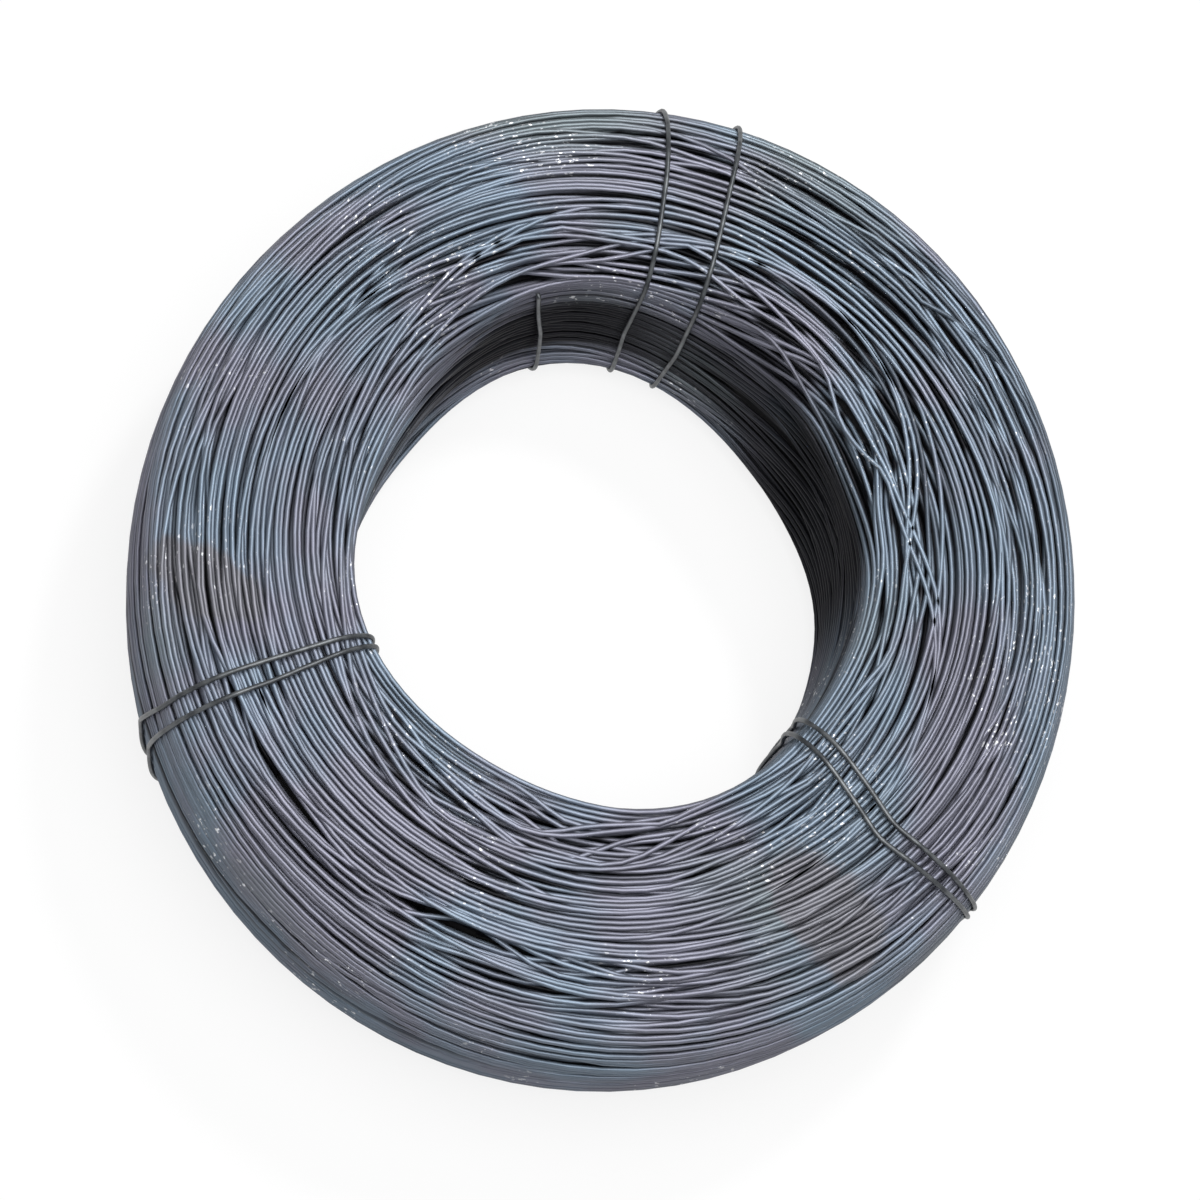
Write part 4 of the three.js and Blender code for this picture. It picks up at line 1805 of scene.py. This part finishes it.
@dataclass
class Studio:
    """The floor, the light and the camera."""

    distance: float = 3.1
    tilt: float = 20.0  # from straight down
    toward: float = 58.0  # bearing towards which the camera looks
    view_width: float = 1.3764  # seen at the distance of the coil's middle
    sensor: float = 36.0  # in millimetres
    sight: float = 100.0  # how far the camera sees
    aim: tuple[float, float, float] = (0.0028, -0.0032, 0.1625)
    shift: Pair = (-0.0081, -0.0132)
    floor_size: float = 40.0
    floor_glow: float = 0.84  # the share of the floor's own white that the camera sees
    floor_colour: Colour = (0.8, 0.8, 0.8, 1)
    floor_bounce: Colour = (0.30, 0.30, 0.30, 1)
    white: Colour = (1, 1, 1, 1)
    world_strength: float = 0.18
    lit: tuple[float, float, float] = (0, 0, 0.2)  # the place that the lamps face
    lamps: tuple[Lamp, ...] = (
        Lamp("key", (1.0, 1.5, 3.4), 0.5, 62),
        Lamp("overhead", (-0.1, -0.4, 3.8), 3.0, 152),
    )

    def camera(self) -> None:
        """Adds the camera, turned so that +Y is up in its picture."""
        tilt, toward = math.radians(self.tilt), math.radians(self.toward)
        flat = Vector((math.cos(toward), math.sin(toward), 0))
        back = -flat * math.sin(tilt) + Vector((0, 0, math.cos(tilt)))
        away = flat * math.cos(tilt) + Vector((0, 0, math.sin(tilt)))
        side = away.cross(back)
        right = away * math.cos(toward) + side * math.sin(toward)
        up = away * math.sin(toward) - side * math.cos(toward)
        data = bpy.data.cameras.new("camera")
        data.sensor_width = self.sensor
        data.lens = self.sensor * self.distance / self.view_width
        data.shift_x, data.shift_y = self.shift
        data.clip_end = self.sight
        camera = linked("camera", data)
        place = Matrix.Translation(Vector(self.aim) + back * self.distance)
        camera.matrix_world = place @ Matrix((right, up, back)).transposed().to_4x4()
        bpy.context.scene.camera = camera

    def floor(self) -> None:
        """Adds the plain pale floor."""
        bpy.ops.object.select_all(action="DESELECT")
        bpy.ops.mesh.primitive_plane_add(size=self.floor_size, location=(0, 0, 0))
        floor = bpy.context.object
        floor.name = "floor"
        nodes = Nodes("pale_floor")
        path = nodes.add("ShaderNodeLightPath").outputs
        shade = nodes.mix(path["Is Diffuse Ray"], self.floor_colour, self.floor_bounce)
        matt = nodes.work("ShaderNodeBsdfDiffuse", shade)
        glow = nodes.work("ShaderNodeEmission", self.white, 1.0)
        seen = path["Is Camera Ray"]
        for ray in ("Is Glossy Ray", "Is Transmission Ray"):
            seen = nodes.number("MAXIMUM", seen, path[ray])
        share = nodes.number("MULTIPLY", seen, self.floor_glow)
        blend = nodes.work("ShaderNodeMixShader", share, matt, glow)
        floor.data.materials.append(nodes.surface(blend))

    def lights(self) -> None:
        """Adds a key lamp at the upper right, a wide one overhead and a faint world."""
        for lamp in self.lamps:
            lamp.build(Vector(self.lit))
        world = bpy.data.worlds.new("world")
        world.use_nodes = True
        background = world.node_tree.nodes["Background"]
        background.inputs["Color"].default_value = self.white
        background.inputs["Strength"].default_value = self.world_strength
        bpy.context.scene.world = world

    def build(self) -> None:
        """Sets up the whole studio."""
        self.floor()
        self.lights()
        self.camera()
        bpy.context.scene.view_settings.view_transform = "Standard"


# ---- Building -----------------------------------------------------------------------

EIGHTH = 45.0  # degrees round the section between two stations of a tie


def tie_stations(bearing: float, swing: tuple[float, ...]) -> tuple[Pair, ...]:
    """Lists a tie's stations, one to each eighth of the way round the section.

    Args:
        bearing: Its bearing under the coil, in degrees.
        swing: Degrees from it at the outer wall, the outer shoulder, the top, the bore
            shoulder and the bore wall.

    Returns:
        Pairs of its angle round the section and its bearing.
    """
    under = (0,) * (int(360 / EIGHTH) - len(swing))
    return tuple((EIGHTH * i, bearing + off) for i, off in enumerate((*swing, *under)))


LOOSE = (Slack(148, 16, 0.008),)  # the bow of the right pair over the bore's shoulder
TIES = (
    TieWire("tie_top_a", tie_stations(84, (0, 0, -0.3, 0.8, 1.2))),
    TieWire("tie_top_b", tie_stations(74, (0.7, 0.4, 0, -0.7, -1.2)), knot_way=-1),
    TieWire(
        "tie_left_a", tie_stations(199.5, (-1.7, 0.3, 0.4, 0.8, 0.8)), KnotPlace.BORE, -1
    ),
    TieWire("tie_left_b", tie_stations(202.5, (-1.4, -0.2, 0.5, -0.1, -0.5)), KnotPlace.BORE),
    TieWire("tie_right_a", tie_stations(-44.5, (2, -1.5, -4.5, -1, 6.5)), slack=LOOSE),
    TieWire(
        "tie_right_b", tie_stations(-47.5, (3.9, -0.1, -4.7, -2.3, 3.9)), knot_way=-1,
        slack=LOOSE,
    ),
    OpenTie("tie_inner", tie_stations(101.5, (0, 0, 3, 5.5, 2))),
)

UNDER = 270  # the angle round the section at which a tie lies under the coil
CHANNEL = 3.2  # degrees to each side over which the turns are lifted there
LIFT = ROD + 0.0012  # how high they are lifted
LIFTS = tuple(Swell(tie.bearing(UNDER) * 180 / math.pi, CHANNEL, LIFT) for tie in TIES)

STRAYS = (
    (
        (-150, 0.425), (-90, 0.420), (-40, 0.382), (-6.5, 0.329), (0, 0.314), (5, 0.303),
        (11, 0.287), (19, 0.272), (33, 0.272), (46, 0.287), (60, 0.300), (100, 0.352),
        (150, 0.400),
    ),
    (
        (-150, 0.440), (-90, 0.430), (-40, 0.372), (-6.5, 0.336), (0, 0.320), (5, 0.306),
        (11, 0.293), (19, 0.284), (33, 0.279), (46, 0.279), (60, 0.310), (100, 0.362),
        (150, 0.410),
    ),
)

GROUPS = (
    TurnGroup("the lowest turns", 0.16),
    TurnGroup("the low turns", 0.32),
    TurnGroup("the lower middle turns", 0.47),
    TurnGroup("the upper middle turns", 0.62),
    TurnGroup("the high turns", 0.77),
    TurnGroup("the higher turns", 0.83, throw=0.14, wander=0.03),
    TurnGroup("the upper turns", 0.885, throw=0.12, wander=0.025, patience=15),
    TurnGroup(
        "the crossing turns", 0.94, throw=0.08, wander=0.015, runs=(3, 16), patience=20,
        oval=Wave(2, 0.09, 145),
        edge=(Wave(0, 0.325, 0), Wave(2, 0.028, 165), Wave(1, 0.022, 30)),
    ),
    TurnGroup(
        "the top turns", 1.0, throw=0.05, wander=0.012, runs=(4, 16), patience=20,
        oval=Wave(2, 0.12, 115),
        edge=(Wave(0, 0.317, 0), Wave(2, 0.038, 115), Wave(1, 0.012, 80)),
    ),
)


def report(piece: bpy.types.Object) -> None:
    """Says in the log how large a piece is."""
    log.info("%s has %d faces", piece.name, len(piece.data.polygons))


def main() -> None:
    """Builds the coil, its ties and the studio."""
    form = CoilForm()
    turns = Press(form).press(Winder(form, GROUPS, LIFTS, STRAYS).wind())
    centre = form.centre(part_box("wire_coil"))

    mesher = TurnMesher(form, turns, centre)
    scale = MillScale().build()
    for piece in mesher.build():
        mesher.dress(piece, scale)
        report(piece)

    core = Core(form, turns, centre)
    ring = core.build()
    core.dress(ring, DeepShadow().build())
    report(ring)

    drape = Drape(form, turns)
    steel = TieSteel().build()
    for tie in TIES:
        wire = tie.build(drape, centre)
        tie.dress(wire, steel)
        report(wire)

    Studio().build()


if __name__ == "__main__":
    main()
